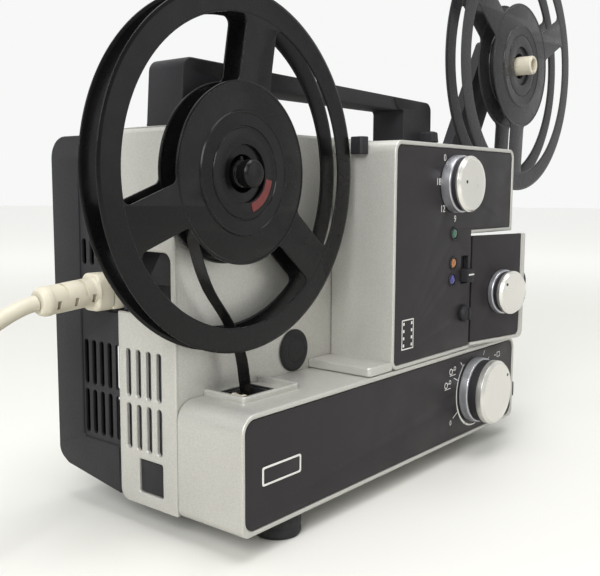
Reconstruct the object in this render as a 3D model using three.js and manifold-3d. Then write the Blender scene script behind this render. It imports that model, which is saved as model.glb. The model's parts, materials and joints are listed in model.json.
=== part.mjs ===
// A dual 8 mm film projector for the table: take-up reel on the recessed wall, supply reel on
// an arm, control housing with a swing-out lens carrier, and a base with the function knob.
// Millimetres, +Z up, +X towards the lens, -Y towards the operator.
import * as THREE from 'three';
import { mergeVertices } from 'three/addons/utils/BufferGeometryUtils.js';
import Module from 'manifold-3d';

const wasm = await Module();
wasm.setup();

// ---------------------------------------------------------------- driving dimensions
// These are measured from the base's sharp corner: X 0 at the cooling-vent end, Y 0 at the
// operator's face, Z 0 at the underside.
const GAP = 0.3;
const WALL = 2.5;
const LENGTH = 289;
const BASE_HEIGHT = 59.7;
const FRONT_DEPTH = 44.4;
const CHASSIS = { front: 44.7, back: 88.7, top: 194.9 };
const COVER = { front: 89, back: 143.7, top: 192.1 };
const HOUSING = { left: 126, right: 278.5, bottom: 60, top: 192.2, notchX: 219.3, notchZ: 136 };
const PANEL_INSET = 2.4;
const FOOT_HEIGHT = 12;
const REEL = { radius: 89, front: 25.6, flange: 1.6, width: 13.6, hub: 30 };
const TAKE_UP = { x: 30.4, z: 171.8 };
const SUPPLY = { x: 341.2, z: 258.7, radius: 94.6 };
const ARM = { pivotX: 275.9, pivotZ: 152, front: 53, back: 61, width: 33, beyond: 18 };
const DOOR = { hingeX: 219.8, hingeY: 0, right: 279, bottom: 61.2, top: 134.6, openDeg: 10.5 };
const OPTIC = { y: 32.4, z: 97 };
const MOTOR = { y: 95, z: 56, radius: 27 };
const SHUTTER = { y: 26, z: 112, radius: 19 };
const MAIN_KNOB = { x: 229.5, z: 30.7, radius: 21.2, height: 17.3 };
const SPEED_KNOB = { x: 195.3, z: 167.9, radius: 17.3, height: 12.9 };
const FOCUS_KNOB = { x: 253.3, z: 95.5, radius: 14.6, height: 10.9 };
const INLET = { y: 96, z: 110 };
const CORD = { diameter: 8, coilRadius: 44, coilX: -165, coilY: 22 };

// The part's origin is under the middle of the whole machine, on the table.
const ORIGIN = { x: 188.6, y: 62.4, z: -FOOT_HEIGHT };

// ---------------------------------------------------------------- materials
function finish(color, roughness, metalness) {
  return new THREE.MeshStandardMaterial({ color, roughness, metalness });
}
const silverPaint = finish(0xbdbdb8, 0.45, 0.55);
const darkPanel = finish(0x454348, 0.6, 0.1);
const blackPlastic = finish(0x2c2b2d, 0.55, 0);
const reelPlastic = finish(0x242325, 0.35, 0);
const spunAluminium = finish(0xdedcd4, 0.3, 0.9);
const chrome = finish(0xc9ccd2, 0.12, 1);
const steel = finish(0x9a9c9f, 0.35, 0.9);
const rubber = finish(0x1c1c1c, 0.85, 0);
const ivory = finish(0xe8e2cf, 0.5, 0);
const copper = finish(0x9c6a3f, 0.5, 0.6);
const clearGlass = finish(0xdfe8ea, 0.05, 0);
const greenGlass = finish(0x1f6b45, 0.25, 0);
const orangeGlass = finish(0xc9791d, 0.25, 0);
const blueGlass = finish(0x2b2c9c, 0.25, 0);

// ---------------------------------------------------------------- solids
function toSolid(geometry) {
  const plain = geometry.index ? geometry.toNonIndexed() : geometry.clone();
  plain.deleteAttribute('normal');
  plain.deleteAttribute('uv');
  const merged = mergeVertices(plain, 1e-3);
  return new wasm.Manifold(new wasm.Mesh({
    numProp: 3,
    vertProperties: merged.attributes.position.array,
    triVerts: new Uint32Array(merged.index.array),
  }));
}

function toGeometry(solid) {
  const mesh = solid.getMesh();
  const geometry = new THREE.BufferGeometry();
  geometry.setAttribute('position', new THREE.BufferAttribute(mesh.vertProperties, 3));
  geometry.setIndex(new THREE.BufferAttribute(mesh.triVerts, 1));
  return geometry;
}

function join(...geometries) {
  const solids = geometries.map(toSolid);
  return toGeometry(solids.reduce((whole, solid) => whole.add(solid)));
}

function cut(body, ...tools) {
  const solids = tools.map(toSolid);
  return toGeometry(solids.reduce((whole, tool) => whole.subtract(tool), toSolid(body)));
}

function box(x0, x1, y0, y1, z0, z1) {
  const geometry = new THREE.BoxGeometry(x1 - x0, y1 - y0, z1 - z0);
  return geometry.translate((x0 + x1) / 2, (y0 + y1) / 2, (z0 + z1) / 2);
}

// Points of a corner: an arc of the given radius inside the right-angled corner (x, y).
function corner(shape, fromX, fromY, x, y, toX, toY, radius) {
  if (radius <= 0) {
    shape.lineTo(x, y);
    return;
  }
  const before = new THREE.Vector2(fromX - x, fromY - y).setLength(radius);
  const after = new THREE.Vector2(toX - x, toY - y).setLength(radius);
  shape.lineTo(x + before.x, y + before.y);
  const middle = new THREE.Vector2(x + before.x + after.x, y + before.y + after.y);
  const start = Math.atan2(y + before.y - middle.y, x + before.x - middle.x);
  const end = Math.atan2(y + after.y - middle.y, x + after.x - middle.x);
  const turn = before.x * after.y - before.y * after.x;
  shape.absarc(middle.x, middle.y, radius, start, end, turn > 0);
}

// A closed outline of corners that are square or nearly so, each [x, y, radius].
function outline(corners) {
  const shape = new THREE.Shape();
  const count = corners.length;
  const [lastX, lastY] = corners[count - 1];
  const [firstX, firstY] = corners[0];
  shape.moveTo((lastX + firstX) / 2, (lastY + firstY) / 2);
  corners.forEach(([x, y, radius], i) => {
    const [px, py] = corners[(i + count - 1) % count];
    const [nx, ny] = corners[(i + 1) % count];
    corner(shape, px, py, x, y, nx, ny, radius);
  });
  shape.closePath();
  return shape;
}

function rectangle(x0, x1, y0, y1, radius = 0) {
  return outline([[x0, y0, radius], [x1, y0, radius], [x1, y1, radius], [x0, y1, radius]]);
}

function extruded(shape, depth, curveSegments) {
  return new THREE.ExtrudeGeometry(shape, { depth, curveSegments, bevelEnabled: false });
}

// An outline drawn in X and Z, thick from y0 to y1.
function alongY(shape, y0, y1, curveSegments = 5) {
  return extruded(shape, y1 - y0, curveSegments).rotateX(Math.PI / 2).translate(0, y1, 0);
}

// An outline drawn in Y and Z, thick from x0 to x1.
function alongX(shape, x0, x1, curveSegments = 5) {
  const turn = new THREE.Matrix4().makeBasis(
    new THREE.Vector3(0, 1, 0), new THREE.Vector3(0, 0, 1), new THREE.Vector3(1, 0, 0));
  return extruded(shape, x1 - x0, curveSegments).applyMatrix4(turn).translate(x0, 0, 0);
}

// An outline drawn in X and Y, thick from z0 to z1.
function alongZ(shape, z0, z1, curveSegments = 5) {
  return extruded(shape, z1 - z0, curveSegments).translate(0, 0, z0);
}

// A round piece about the Y axis: the profile is a list of [radius, y].
function turnedY(profile, segments = 32) {
  const points = profile.map(([radius, y]) => new THREE.Vector2(radius, y));
  if (THREE.ShapeUtils.isClockWise(points)) points.reverse();
  return new THREE.LatheGeometry(points, segments);
}

function turnedX(profile, segments = 32) {
  return turnedY(profile, segments).rotateZ(-Math.PI / 2);
}

function turnedZ(profile, segments = 32) {
  return turnedY(profile, segments).rotateX(Math.PI / 2);
}

function rod(radius, from, to) {
  return [[0, from], [radius, from], [radius, to], [0, to]];
}

function ring(inner, outer, from, to) {
  return [[inner, from], [outer, from], [outer, to], [inner, to], [inner, from]];
}

function holeY(x, z, radius, y0, y1) {
  return turnedY(rod(radius, y0, y1), 20).translate(x, 0, z);
}

// ---------------------------------------------------------------- scene graph
const projector = new THREE.Group();
const machine = new THREE.Group();
machine.position.set(-ORIGIN.x, -ORIGIN.y, -ORIGIN.z);
projector.add(machine);

function place(parent, name, geometry, material) {
  const mesh = new THREE.Mesh(geometry, material);
  mesh.name = name;
  parent.add(mesh);
}

function groupAt(parent, x, y, z) {
  const group = new THREE.Group();
  group.position.set(x, y, z);
  parent.add(group);
  return group;
}

// ---------------------------------------------------------------- base
const FILM_SLOT = { x0: 26, x1: 50, y0: 25, y1: 41 };

function baseCover() {
  const shell = rectangleWithShoulders(0, LENGTH, 0, BASE_HEIGHT, 10);
  const hollow = outline([[WALL, -WALL, 0], [LENGTH - WALL, -WALL, 0],
    [LENGTH - WALL, BASE_HEIGHT - WALL, 7.5], [WALL, BASE_HEIGHT - WALL, 7.5]]);
  const rim = cut(
    box(19, 62, 16, FRONT_DEPTH, BASE_HEIGHT - 1, BASE_HEIGHT + 3),
    box(21.2, 59.8, 18.2, FRONT_DEPTH + 1, BASE_HEIGHT, BASE_HEIGHT + 4));
  return cut(
    join(alongY(shell, 0, FRONT_DEPTH, 6), rim),
    alongY(hollow, 3.2, FRONT_DEPTH + 1),
    alongY(basePanelOutline(0), -1, 1.8),
    box(FILM_SLOT.x0, FILM_SLOT.x1, FILM_SLOT.y0, FILM_SLOT.y1, BASE_HEIGHT - 4, BASE_HEIGHT + 1),
    holeY(MAIN_KNOB.x, MAIN_KNOB.z, 4.4, 0, 5));
}

function rectangleWithShoulders(x0, x1, z0, z1, radius) {
  return outline([[x0, z0, 5], [x1, z0, 5], [x1, z1, radius], [x0, z1, radius]]);
}

function basePanelOutline(clearance) {
  const inset = PANEL_INSET + clearance;
  return rectangle(inset, LENGTH - inset, inset, BASE_HEIGHT - 0.3 - inset, 6.5 - clearance);
}

function basePanel() {
  return cut(
    alongY(basePanelOutline(GAP), 0.6, 1.5),
    holeY(MAIN_KNOB.x, MAIN_KNOB.z, 4.4, 0, 5));
}

function bottomPlate() {
  const plate = box(5, LENGTH - 5, 3.5, CHASSIS.back - GAP, 0.3, 2.3);
  const vents = [];
  for (let i = 0; i < 9; i++) vents.push(box(96 + 12 * i, 102 + 12 * i, 14, 40, -1, 4));
  return cut(plate, ...vents, turnedZ(rod(4.6, -4, 4), 16).translate(263, 36, 0));
}

function foot() {
  const profile = [[0, -FOOT_HEIGHT], [11.5, -FOOT_HEIGHT], [12.5, 1 - FOOT_HEIGHT], [12.5, -0.3],
    [0, -0.3]];
  return turnedZ(profile, 24);
}

function levellingFoot() {
  return turnedZ([[0, -FOOT_HEIGHT], [11.5, -FOOT_HEIGHT], [12.5, 1 - FOOT_HEIGHT],
    [12.5, -0.3], [4, -0.3], [4, 16], [0, 16]], 24);
}

// ---------------------------------------------------------------- chassis
const VENT = { width: 3.8, pitch: 7.85, firstY: 57.5 };

function upright(y, halfWidth, z0, z1) {
  return rectangle(y - halfWidth, y + halfWidth, z0, z1, halfWidth * 0.98);
}

function chassisShell() {
  const outer = outline([[CHASSIS.front, 0, 0], [CHASSIS.back, 0, 6],
    [CHASSIS.back, CHASSIS.top, 9], [CHASSIS.front, CHASSIS.top, 2]]);
  const inner = outline([[CHASSIS.front + WALL, -1, 0], [CHASSIS.back - WALL, -1, 0],
    [CHASSIS.back - WALL, CHASSIS.top - WALL, 6.5], [CHASSIS.front + WALL, CHASSIS.top - WALL, 0]]);
  const tools = [
    alongX(inner, WALL, LENGTH - WALL),
    box(WALL, LENGTH - WALL, CHASSIS.back - WALL - 1, CHASSIS.back + 1, -1, 183),
    box(WALL, LENGTH - WALL, CHASSIS.front - 1, CHASSIS.back, -1, 2.6),
    alongX(rectangle(55.3, 73.6, 7, 24.8, 1), -1, WALL + 1),
    alongX(rectangle(47.8, CHASSIS.back + 9, 101, 133, 5), -1, WALL + 1),
    holeY(TAKE_UP.x, TAKE_UP.z, 5.4, CHASSIS.front - 1, CHASSIS.front + 4),
    holeY(90.5, 72.3, 9, CHASSIS.front - 1, CHASSIS.front + 4),
    box(132, 212, CHASSIS.front - 1, CHASSIS.front + 4, 66, 128),
    box(255, LENGTH + 1, ARM.front - 0.8, ARM.back + 0.8, 118, CHASSIS.top + 1),
  ];
  for (let column = 0; column < 4; column++) {
    const y = VENT.firstY + VENT.pitch * column;
    tools.push(alongX(upright(y, VENT.width / 2, 29, 53.2), -1, WALL + 1, 1));
    tools.push(alongX(upright(y, VENT.width / 2, 56.8, 82), -1, WALL + 1, 1));
  }
  for (const [x, side] of [[0, 1], [LENGTH, -1]]) tools.push(cornerTool(x, side));
  return cut(alongX(outer, 0, LENGTH), ...tools);
}

// What is taken off to round a top corner of the chassis, seen from the operator's side.
function cornerTool(x, side) {
  const radius = 4;
  const shape = new THREE.Shape();
  shape.moveTo(x - side, CHASSIS.top + 1);
  shape.lineTo(x - side, CHASSIS.top - radius);
  shape.lineTo(x, CHASSIS.top - radius);
  for (let i = 1; i <= 6; i++) {
    const angle = (Math.PI / 2) * (i / 6);
    shape.lineTo(x + side * radius * (1 - Math.cos(angle)),
      CHASSIS.top - radius * (1 - Math.sin(angle)));
  }
  shape.lineTo(x + side * radius, CHASSIS.top + 1);
  shape.closePath();
  return alongY(shape, CHASSIS.front - 1, CHASSIS.back + 1);
}

function selectorWindow() {
  return box(1.2, 2.8, 55.7, 73.2, 7.4, 24.4);
}

function accessPlug() {
  return turnedY([[0, 42.6], [11.2, 42.6], [12.2, 43.6], [12.2, 44.4], [8.6, 44.4], [8.6, 48],
    [0, 48]], 36);
}

function handle() {
  const foot0 = CHASSIS.top + GAP;
  const shape = outline([[8, foot0, 0], [43, foot0, 0], [43, 216.8, 3], [209.5, 216.8, 3],
    [209.5, foot0, 0], [244.8, foot0, 0], [244.3, 224, 6], [10.3, 228.2, 6]]);
  return alongY(shape, 47.4, 73);
}

// ---------------------------------------------------------------- rear cover
function coverProfile(inset, front) {
  const shape = new THREE.Shape();
  const bottom = 2 + inset;
  const back = COVER.back - inset;
  const top = COVER.top - inset;
  shape.moveTo(front, bottom);
  shape.lineTo(back - 8, bottom + 7.1);
  shape.quadraticCurveTo(back, bottom + 8.3, back, bottom + 16);
  shape.lineTo(back, top - 12);
  shape.absarc(back - 12, top - 12, 12, 0, Math.PI / 2, false);
  shape.lineTo(front, top);
  shape.closePath();
  return shape;
}

function rearCover() {
  const tools = [
    alongX(coverProfile(WALL, COVER.front - 1), WALL, LENGTH - WALL),
    alongX(rectangle(COVER.front - 5, 120.3, 28, 180, 2), -1, 1),
    alongX(rectangle(COVER.front - 5, 106, 99.5, 120.5, 2), -1, WALL + 1),
  ];
  for (let column = 0; column < 5; column++) {
    const y = 117.2 - 6.6 * column;
    tools.push(alongX(upright(y, 1.8, 30.8, 55.2), -1, WALL + 1, 1));
    tools.push(alongX(upright(y, 1.8, 58, 82.7), -1, WALL + 1, 1));
    if (column < 3) tools.push(alongX(upright(y, 1.8, 123.5, 137.5), -1, WALL + 1, 1));
  }
  for (let i = 0; i < 10; i++) {
    const x = 40 + 11 * i;
    tools.push(box(x, x + 5, COVER.back - 4, COVER.back + 1, 36, 96));
  }
  return cut(alongX(coverProfile(0, COVER.front), 0, LENGTH), ...tools);
}

// ---------------------------------------------------------------- control housing
const INDICATORS = [
  { name: 'green_indicator_lens', x: 196.3, z: 136.9, material: greenGlass },
  { name: 'orange_indicator_lens', x: 196, z: 118.2, material: orangeGlass },
  { name: 'blue_indicator_lens', x: 195.1, z: 107.8, material: blueGlass },
];
const SLIDER = { x0: 206.2, x1: 215.8, z0: 104, z1: 122 };
const FRAMING = { x: 210.3, z: 84.6 };
const FILM_ENTRY = { x: 246, y0: 23.4, y1: 41.4, z: 160 };

function frontOpenings(y0, y1) {
  return [
    holeY(SPEED_KNOB.x, SPEED_KNOB.z, 4.4, y0, y1),
    holeY(FRAMING.x, FRAMING.z, 2.7, y0, y1),
    ...INDICATORS.map(({ x, z }) => holeY(x, z, 3.6, y0, y1)),
    box(SLIDER.x0, SLIDER.x1, y0, y1, SLIDER.z0, SLIDER.z1),
  ];
}

function housingOutline(inset, notchInset) {
  const { left, right, bottom, top, notchX, notchZ } = HOUSING;
  return outline([[left + inset, bottom + inset, 6 - inset], [notchX - notchInset, bottom + inset, 0],
    [notchX - notchInset, notchZ + inset, 0], [right - inset, notchZ + inset, 1],
    [right - inset, top - inset, 6 - inset], [left + inset, top - inset, 7 - inset]]);
}

function slantedWall() {
  const outer = new THREE.Shape();
  outer.moveTo(HOUSING.left + 1, 18.8);
  outer.lineTo(HOUSING.left + 1, FRONT_DEPTH);
  outer.lineTo(105, FRONT_DEPTH);
  outer.closePath();
  const inner = new THREE.Shape();
  inner.moveTo(HOUSING.left + 2, 23);
  inner.lineTo(HOUSING.left + 2, FRONT_DEPTH + 1);
  inner.lineTo(109, FRONT_DEPTH + 1);
  inner.closePath();
  return cut(alongZ(outer, 60, 184), alongZ(inner, 67.5, 181.5));
}

function controlHousing() {
  const { left, bottom } = HOUSING;
  const body = cut(
    alongY(housingOutline(0, 0), 0, FRONT_DEPTH, 6),
    alongY(housingOutline(WALL, WALL), 3.2, FRONT_DEPTH + 1));
  const plinth = box(104.6, left + 1, 0.6, FRONT_DEPTH, bottom, bottom + 5.2);
  return cut(
    join(body, slantedWall(), plinth),
    alongY(housingOutline(PANEL_INSET, -1), -1, 1.8),
    turnedY(rod(REEL.radius + 1.6, REEL.front - 1.4, FRONT_DEPTH + 1), 64)
      .translate(TAKE_UP.x, 0, TAKE_UP.z),
    box(FILM_ENTRY.x, HOUSING.right + 1, FILM_ENTRY.y0, FILM_ENTRY.y1, FILM_ENTRY.z, HOUSING.top + 1),
    box(225.6, 232.9, 34.6, 42.4, HOUSING.top - 4, HOUSING.top + 1),
    box(HOUSING.notchX - 4, HOUSING.notchX + 1, 27, 38, 90, 104),
    ...frontOpenings(0, 5));
}

function controlPanel() {
  return cut(
    alongY(housingOutline(PANEL_INSET + GAP, GAP), 0.6, 1.5),
    ...frontOpenings(0, 5));
}

function indicatorLens() {
  return turnedY([[0, -0.6], [1.9, -0.3], [3.3, 0.6], [3.3, 6], [0, 6]], 20);
}

function formatSlider() {
  return join(
    alongY(rectangle(206.9, 215.1, 105, 113.6, 0.8), -4.6, 3),
    box(208, 214, 2.8, 4, 106, 112.6),
    box(205.4, 216.4, 3.6, 5, 95.4, 123.2));
}

function framingKnob() {
  return turnedY([[0, -4.4], [4.6, -4.4], [5.5, -3.6], [5.5, 0.3], [2.3, 0.3], [2.3, 10], [0, 10]], 24);
}

function rewindGuide() {
  const shape = new THREE.Shape();
  shape.moveTo(120.2, 20.4);
  shape.lineTo(121.6, 18.9);
  shape.lineTo(125.6, 18.3);
  shape.lineTo(125.6, 28);
  shape.lineTo(121.4, 28);
  shape.closePath();
  const slope = alongX(outline([[10, 191.5, 0], [21, 196, 0], [10, 196, 0]]), 115, 130);
  return cut(alongZ(shape, 184.4, 194.4), slope);
}

function threadingKey() {
  return join(
    alongY(outline([[225.4, HOUSING.top + 4, 0], [234.2, HOUSING.top + 4, 0],
      [232.6, HOUSING.top + 11, 1], [225.4, HOUSING.top + 11, 1]]), 35, 44),
    box(226.4, 232.1, 35.4, 41.6, 184, HOUSING.top + 4.5));
}

// ---------------------------------------------------------------- knobs
// Each knob turns about its own Y axis; y 0 is the face of the panel behind it.
function addKnob(parent, name, { x, z, radius, height }) {
  const knob = groupAt(parent, x, 0.3, z);
  const ringStart = -0.42 * height;
  const capStart = -0.76 * height;
  const skirtRadius = radius * 1.06;
  place(knob, `${name}_skirt`, turnedY([[0, ringStart - 0.3 * height], [radius * 0.98,
    ringStart - 0.3 * height], [radius * 0.98, ringStart], [skirtRadius, ringStart],
  [skirtRadius, 0], [4, 0], [4, 14], [0, 14]], 28), chrome);
  place(knob, `${name}_cap`, turnedY([[0, -height], [radius * 0.92, -height],
    [radius, -height + 1.6], [radius, capStart], [0, capStart]], 28), spunAluminium);
}

// ---------------------------------------------------------------- lens carrier
function carrierFrame() {
  const { right, bottom, top } = DOOR;
  const plate = alongY(outline([[220.7, bottom, 0], [right, bottom, 5], [right, top, 1],
    [220.7, top, 0]]), 0, 4.6, 6);
  const bracket = box(228, 246, 4, 44, 82, 112);
  return cut(
    join(plate, bracket),
    alongY(carrierPanelOutline(0), -1, 1.8),
    turnedX(rod(11.7, 215, 260), 32).translate(0, OPTIC.y, OPTIC.z),
    holeY(FOCUS_KNOB.x, FOCUS_KNOB.z, 4.4, -1, 16));
}

function carrierPanelOutline(clearance) {
  const { right, bottom, top } = DOOR;
  const hingeSide = clearance > 0 ? 221 : 219;
  const upperEdge = clearance > 0 ? top - GAP : top + 1;
  return outline([[hingeSide, bottom + 2.6 + clearance, 0],
    [right - 4.6 - clearance, bottom + 2.6 + clearance, 3.4], [right - 4.6 - clearance, upperEdge, 0],
    [hingeSide, upperEdge, 0]]);
}

function carrierPanel() {
  return cut(alongY(carrierPanelOutline(GAP), 0.6, 1.5), holeY(FOCUS_KNOB.x, FOCUS_KNOB.z, 4.4, -1, 5));
}

function lensBarrel() {
  return turnedX([[8, 224], [11.3, 224], [11.3, 312], [9.6, 312], [9.6, 300], [8, 300], [8, 224]], 32)
    .translate(0, OPTIC.y, OPTIC.z);
}

function frontGlass() {
  return turnedX([[0, 302], [9.2, 302], [9.2, 306], [6, 307.4], [0, 308]], 28)
    .translate(0, OPTIC.y, OPTIC.z);
}

function zoomRing() {
  return turnedX(ring(11.7, 14.4, 294, 306), 32).translate(0, OPTIC.y, OPTIC.z);
}

function addLensCarrier(parent) {
  const hinge = groupAt(parent, DOOR.hingeX, DOOR.hingeY, 0);
  hinge.rotation.z = -THREE.MathUtils.degToRad(DOOR.openDeg);
  const door = groupAt(hinge, -DOOR.hingeX, -DOOR.hingeY, 0);
  place(door, 'lens_carrier_frame', carrierFrame(), silverPaint);
  place(door, 'lens_carrier_panel', carrierPanel(), darkPanel);
  place(door, 'lens_barrel', lensBarrel(), blackPlastic);
  place(door, 'lens_front_glass', frontGlass(), clearGlass);
  place(door, 'zoom_ring', zoomRing(), rubber);
  addKnob(door, 'focus_knob', FOCUS_KNOB);
}

// ---------------------------------------------------------------- reels
// A reel's pieces are drawn about the spindle; y is the same as on the machine.
function arcPoints(radius, from, to, steps) {
  const points = [];
  for (let i = 0; i <= steps; i++) {
    const angle = from + ((to - from) * i) / steps;
    points.push(new THREE.Vector2(radius * Math.cos(angle), radius * Math.sin(angle)));
  }
  return points;
}

function circlePoints(radius, steps) {
  return arcPoints(radius, 0, Math.PI * 2 * (1 - 1 / steps), steps - 1);
}

function flangeShape(radius, discRadius, bore, firstSpokeDeg) {
  const shape = new THREE.Shape(circlePoints(radius, 48));
  shape.holes.push(new THREE.Path(circlePoints(bore, 20)));
  const inner = radius * 0.861;
  const halfSpoke = 11;
  const outerTrim = Math.asin(halfSpoke / inner);
  const innerTrim = Math.asin(halfSpoke / discRadius);
  for (let i = 0; i < 3; i++) {
    const start = THREE.MathUtils.degToRad(firstSpokeDeg + 120 * i);
    const end = start + THREE.MathUtils.degToRad(120);
    shape.holes.push(new THREE.Path([
      ...arcPoints(inner, start + outerTrim, end - outerTrim, 12),
      ...arcPoints(discRadius, end - innerTrim, start + innerTrim, 8)]));
  }
  return shape;
}

function addReel(parent, name, { x, z, radius }, discRadius, firstSpokeDeg, colour) {
  const spindle = groupAt(parent, x, 0, z);
  const { front, flange, width, hub } = REEL;
  const back = front + width;
  const nearShape = flangeShape(radius, discRadius, 14.4, firstSpokeDeg);
  const farShape = flangeShape(radius, discRadius, 7.3, firstSpokeDeg);
  place(spindle, `${name}_near_flange`, alongY(nearShape, front, front + flange, 20), colour);
  place(spindle, `${name}_far_flange`, alongY(farShape, back - flange, back, 20), colour);
  const hubProfile = ring(7.3, hub, front + flange + GAP, back - flange - GAP);
  place(spindle, `${name}_hub`, turnedY(hubProfile, 32), colour);
  return spindle;
}

function takeUpSpindle() {
  return turnedY([[0, 18.6], [5.6, 18.6], [7, 19.8], [7, 24.4], [5.8, 24.4], [5.8, 27], [6.9, 27],
    [6.9, 39.6], [9.5, 39.6], [9.5, 44], [4.9, 44], [4.9, 56], [20, 56], [20, 62], [4, 62], [4, 80],
    [0, 80]], 20);
}

function supplySpindle() {
  return turnedY([[4.6, 16], [6.9, 16], [6.9, 39.6], [9.5, 39.6], [9.5, 52.4], [4, 52.4], [4, 65],
    [0, 65], [0, 24], [4.6, 24], [4.6, 16]], 20);
}

function supplyArm() {
  const length = Math.hypot(SUPPLY.x - ARM.pivotX, SUPPLY.z - ARM.pivotZ);
  const lean = Math.atan2(SUPPLY.x - ARM.pivotX, SUPPLY.z - ARM.pivotZ);
  const half = ARM.width / 2;
  const shape = new THREE.Shape();
  shape.absarc(0, 0, half, Math.PI, Math.PI * 2, false);
  const end = length + ARM.beyond;
  shape.lineTo(half, end - 8);
  shape.absarc(half - 8, end - 8, 8, 0, Math.PI / 2, false);
  shape.lineTo(8 - half, end);
  shape.absarc(8 - half, end - 8, 8, Math.PI / 2, Math.PI, false);
  shape.closePath();
  const plate = cut(
    alongY(shape, ARM.front, ARM.back, 10),
    holeY(0, 0, 4.4, ARM.front - 1, ARM.back + 1),
    holeY(0, length, 4.4, ARM.front - 1, ARM.back + 1));
  return plate.rotateY(lean).translate(ARM.pivotX, 0, ARM.pivotZ);
}

function armPivot() {
  const pin = turnedY(rod(4, 50, 63), 20);
  const head = turnedY(rod(7, 50, 52.4), 20);
  const block = box(-14, 9, 62.2, 72, -12, 12);
  return join(pin, head, block).translate(ARM.pivotX, 0, ARM.pivotZ);
}

// ---------------------------------------------------------------- film path
function filmRoller() {
  return turnedY([[0, 27.9], [3.4, 27.9], [4.2, 28.4], [4.2, 36.4], [3.4, 36.9], [0, 36.9]], 20);
}

function filmSlotGuide() {
  const { x0, x1, y0, y1 } = FILM_SLOT;
  const tray = box(x0 + GAP, x1 - GAP, y0 + GAP, y1 - GAP, 46, BASE_HEIGHT - 0.6);
  return cut(tray, box(x0 + 1.3, x1 - 1.3, y0 + 1.3, y1 - 1.3, 48, BASE_HEIGHT + 1));
}

// The film leader climbs from the slot and lies on the take-up hub's far side.
function filmLeader() {
  const route = new THREE.CatmullRomCurve3([[39, 52], [37, 62], [33.5, 80], [25, 97], [10, 117],
    [1.5, 138], [-1.2, 158], [-0.2, 171.5]].map(([x, z]) => new THREE.Vector3(x, OPTIC.y, z)));
  const strip = rectangle(-4, 4, -0.35, 0.35);
  const path = { extrudePath: route, steps: 24, bevelEnabled: false };
  const band = new THREE.ExtrudeGeometry(strip, path);
  band.computeBoundingBox();
  const wide = band.boundingBox.max.y - band.boundingBox.min.y > 4;
  if (wide) return band;
  return new THREE.ExtrudeGeometry(rectangle(-0.35, 0.35, -4, 4), path);
}

// ---------------------------------------------------------------- works inside
function lampHouse() {
  const sheet = 1.2;
  return cut(
    box(135, 198, 8, 66, 70, 124),
    box(135 + sheet, 198 - sheet, 8 + sheet, 66 - sheet, 69, 125),
    turnedX(rod(16, 190, 200), 28).translate(0, OPTIC.y, OPTIC.z));
}

function reflectorLamp() {
  return turnedX([[0, 148], [7, 148], [7, 158], [15, 166], [20, 178], [22, 188], [20.8, 188],
    [18.8, 178], [13.8, 167.4], [5, 160], [3, 176], [0, 178]], 28)
    .translate(0, OPTIC.y, OPTIC.z);
}

function filmGate() {
  return cut(
    box(214.4, 216.4, 22, 43, 78, 116),
    box(213, 218, 29.8, 35, 94.9, 99.1));
}

function shutter() {
  const blades = new THREE.Shape();
  for (let i = 0; i < 3; i++) {
    const start = (Math.PI * 2 * i) / 3;
    blades.absarc(0, 0, SHUTTER.radius, start, start + Math.PI / 3, false);
    blades.absarc(0, 0, 9, start + Math.PI / 3, start + (Math.PI * 2) / 3, false);
  }
  blades.closePath();
  return join(
    alongX(blades, 208.4, 209.2, 4),
    turnedX([[0, 199.6], [2, 199.6], [2, 202.4], [7, 202.4], [7, 206.4], [2, 206.4], [2, 213.6],
      [0, 213.6]], 20)).translate(0, SHUTTER.y, SHUTTER.z);
}

function motorStator() {
  return turnedX(ring(3.5, MOTOR.radius, 112, 184), 36).translate(0, MOTOR.y, MOTOR.z);
}

function motorShaft() {
  return turnedX([[0, 104.4], [3, 104.4], [3, 202.4], [12, 202.4], [12, 206.4], [3, 206.4],
    [3, 211], [0, 211]], 24).translate(0, MOTOR.y, MOTOR.z);
}

function coolingFan() {
  const hub = turnedX([[0, 70], [12, 70], [12, 98], [34, 98], [34, 100.4], [7, 100.4], [7, 104.1],
    [0, 104.1]], 32);
  const blades = [];
  for (let i = 0; i < 12; i++) blades.push(box(66, 98.5, 18, 33.5, -0.8, 0.8).rotateX((Math.PI * i) / 6));
  const spokes = [];
  for (let i = 0; i < 12; i++) spokes.push(box(72, 76, 10, 19, -0.8, 0.8).rotateX((Math.PI * i) / 6));
  return join(hub, ...blades, ...spokes).translate(0, MOTOR.y, MOTOR.z);
}

// The belt is the outline of both pulleys with a smaller one taken out of it.
function beltOutline(grow) {
  const span = new THREE.Vector2(MOTOR.y - SHUTTER.y, MOTOR.z - SHUTTER.z);
  const large = 12 + grow;
  const small = 7 + grow;
  const along = span.angle();
  const spread = Math.acos((large - small) / span.length());
  const shape = new THREE.Shape();
  shape.absarc(MOTOR.y, MOTOR.z, large, along + Math.PI + spread, along + 3 * Math.PI - spread, false);
  shape.absarc(SHUTTER.y, SHUTTER.z, small, along + Math.PI - spread, along + Math.PI + spread, false);
  shape.closePath();
  return shape;
}

function shutterBelt() {
  return cut(alongX(beltOutline(1.9), 203, 205.8, 6), alongX(beltOutline(0.4), 202, 207, 6));
}

function transformer() {
  const core = box(214, 276, 92, 130, 18, 72);
  const winding = box(222, 268, 84, 138, 28, 62);
  return join(core, winding);
}

function mainsInlet() {
  const socket = cut(
    box(2.8, 34, 84.6, 107.4, 97, 123),
    box(0, 22, 86.9, 105.1, 100.9, 119.1));
  const tray = box(14, 16, 49, 85, 99, 134);
  const facet = new THREE.Shape();
  facet.moveTo(49, 116);
  facet.lineTo(72, 116);
  facet.lineTo(60, 134);
  facet.lineTo(49, 134);
  facet.closePath();
  return join(socket, tray, alongX(facet, 6, 15));
}

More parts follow.
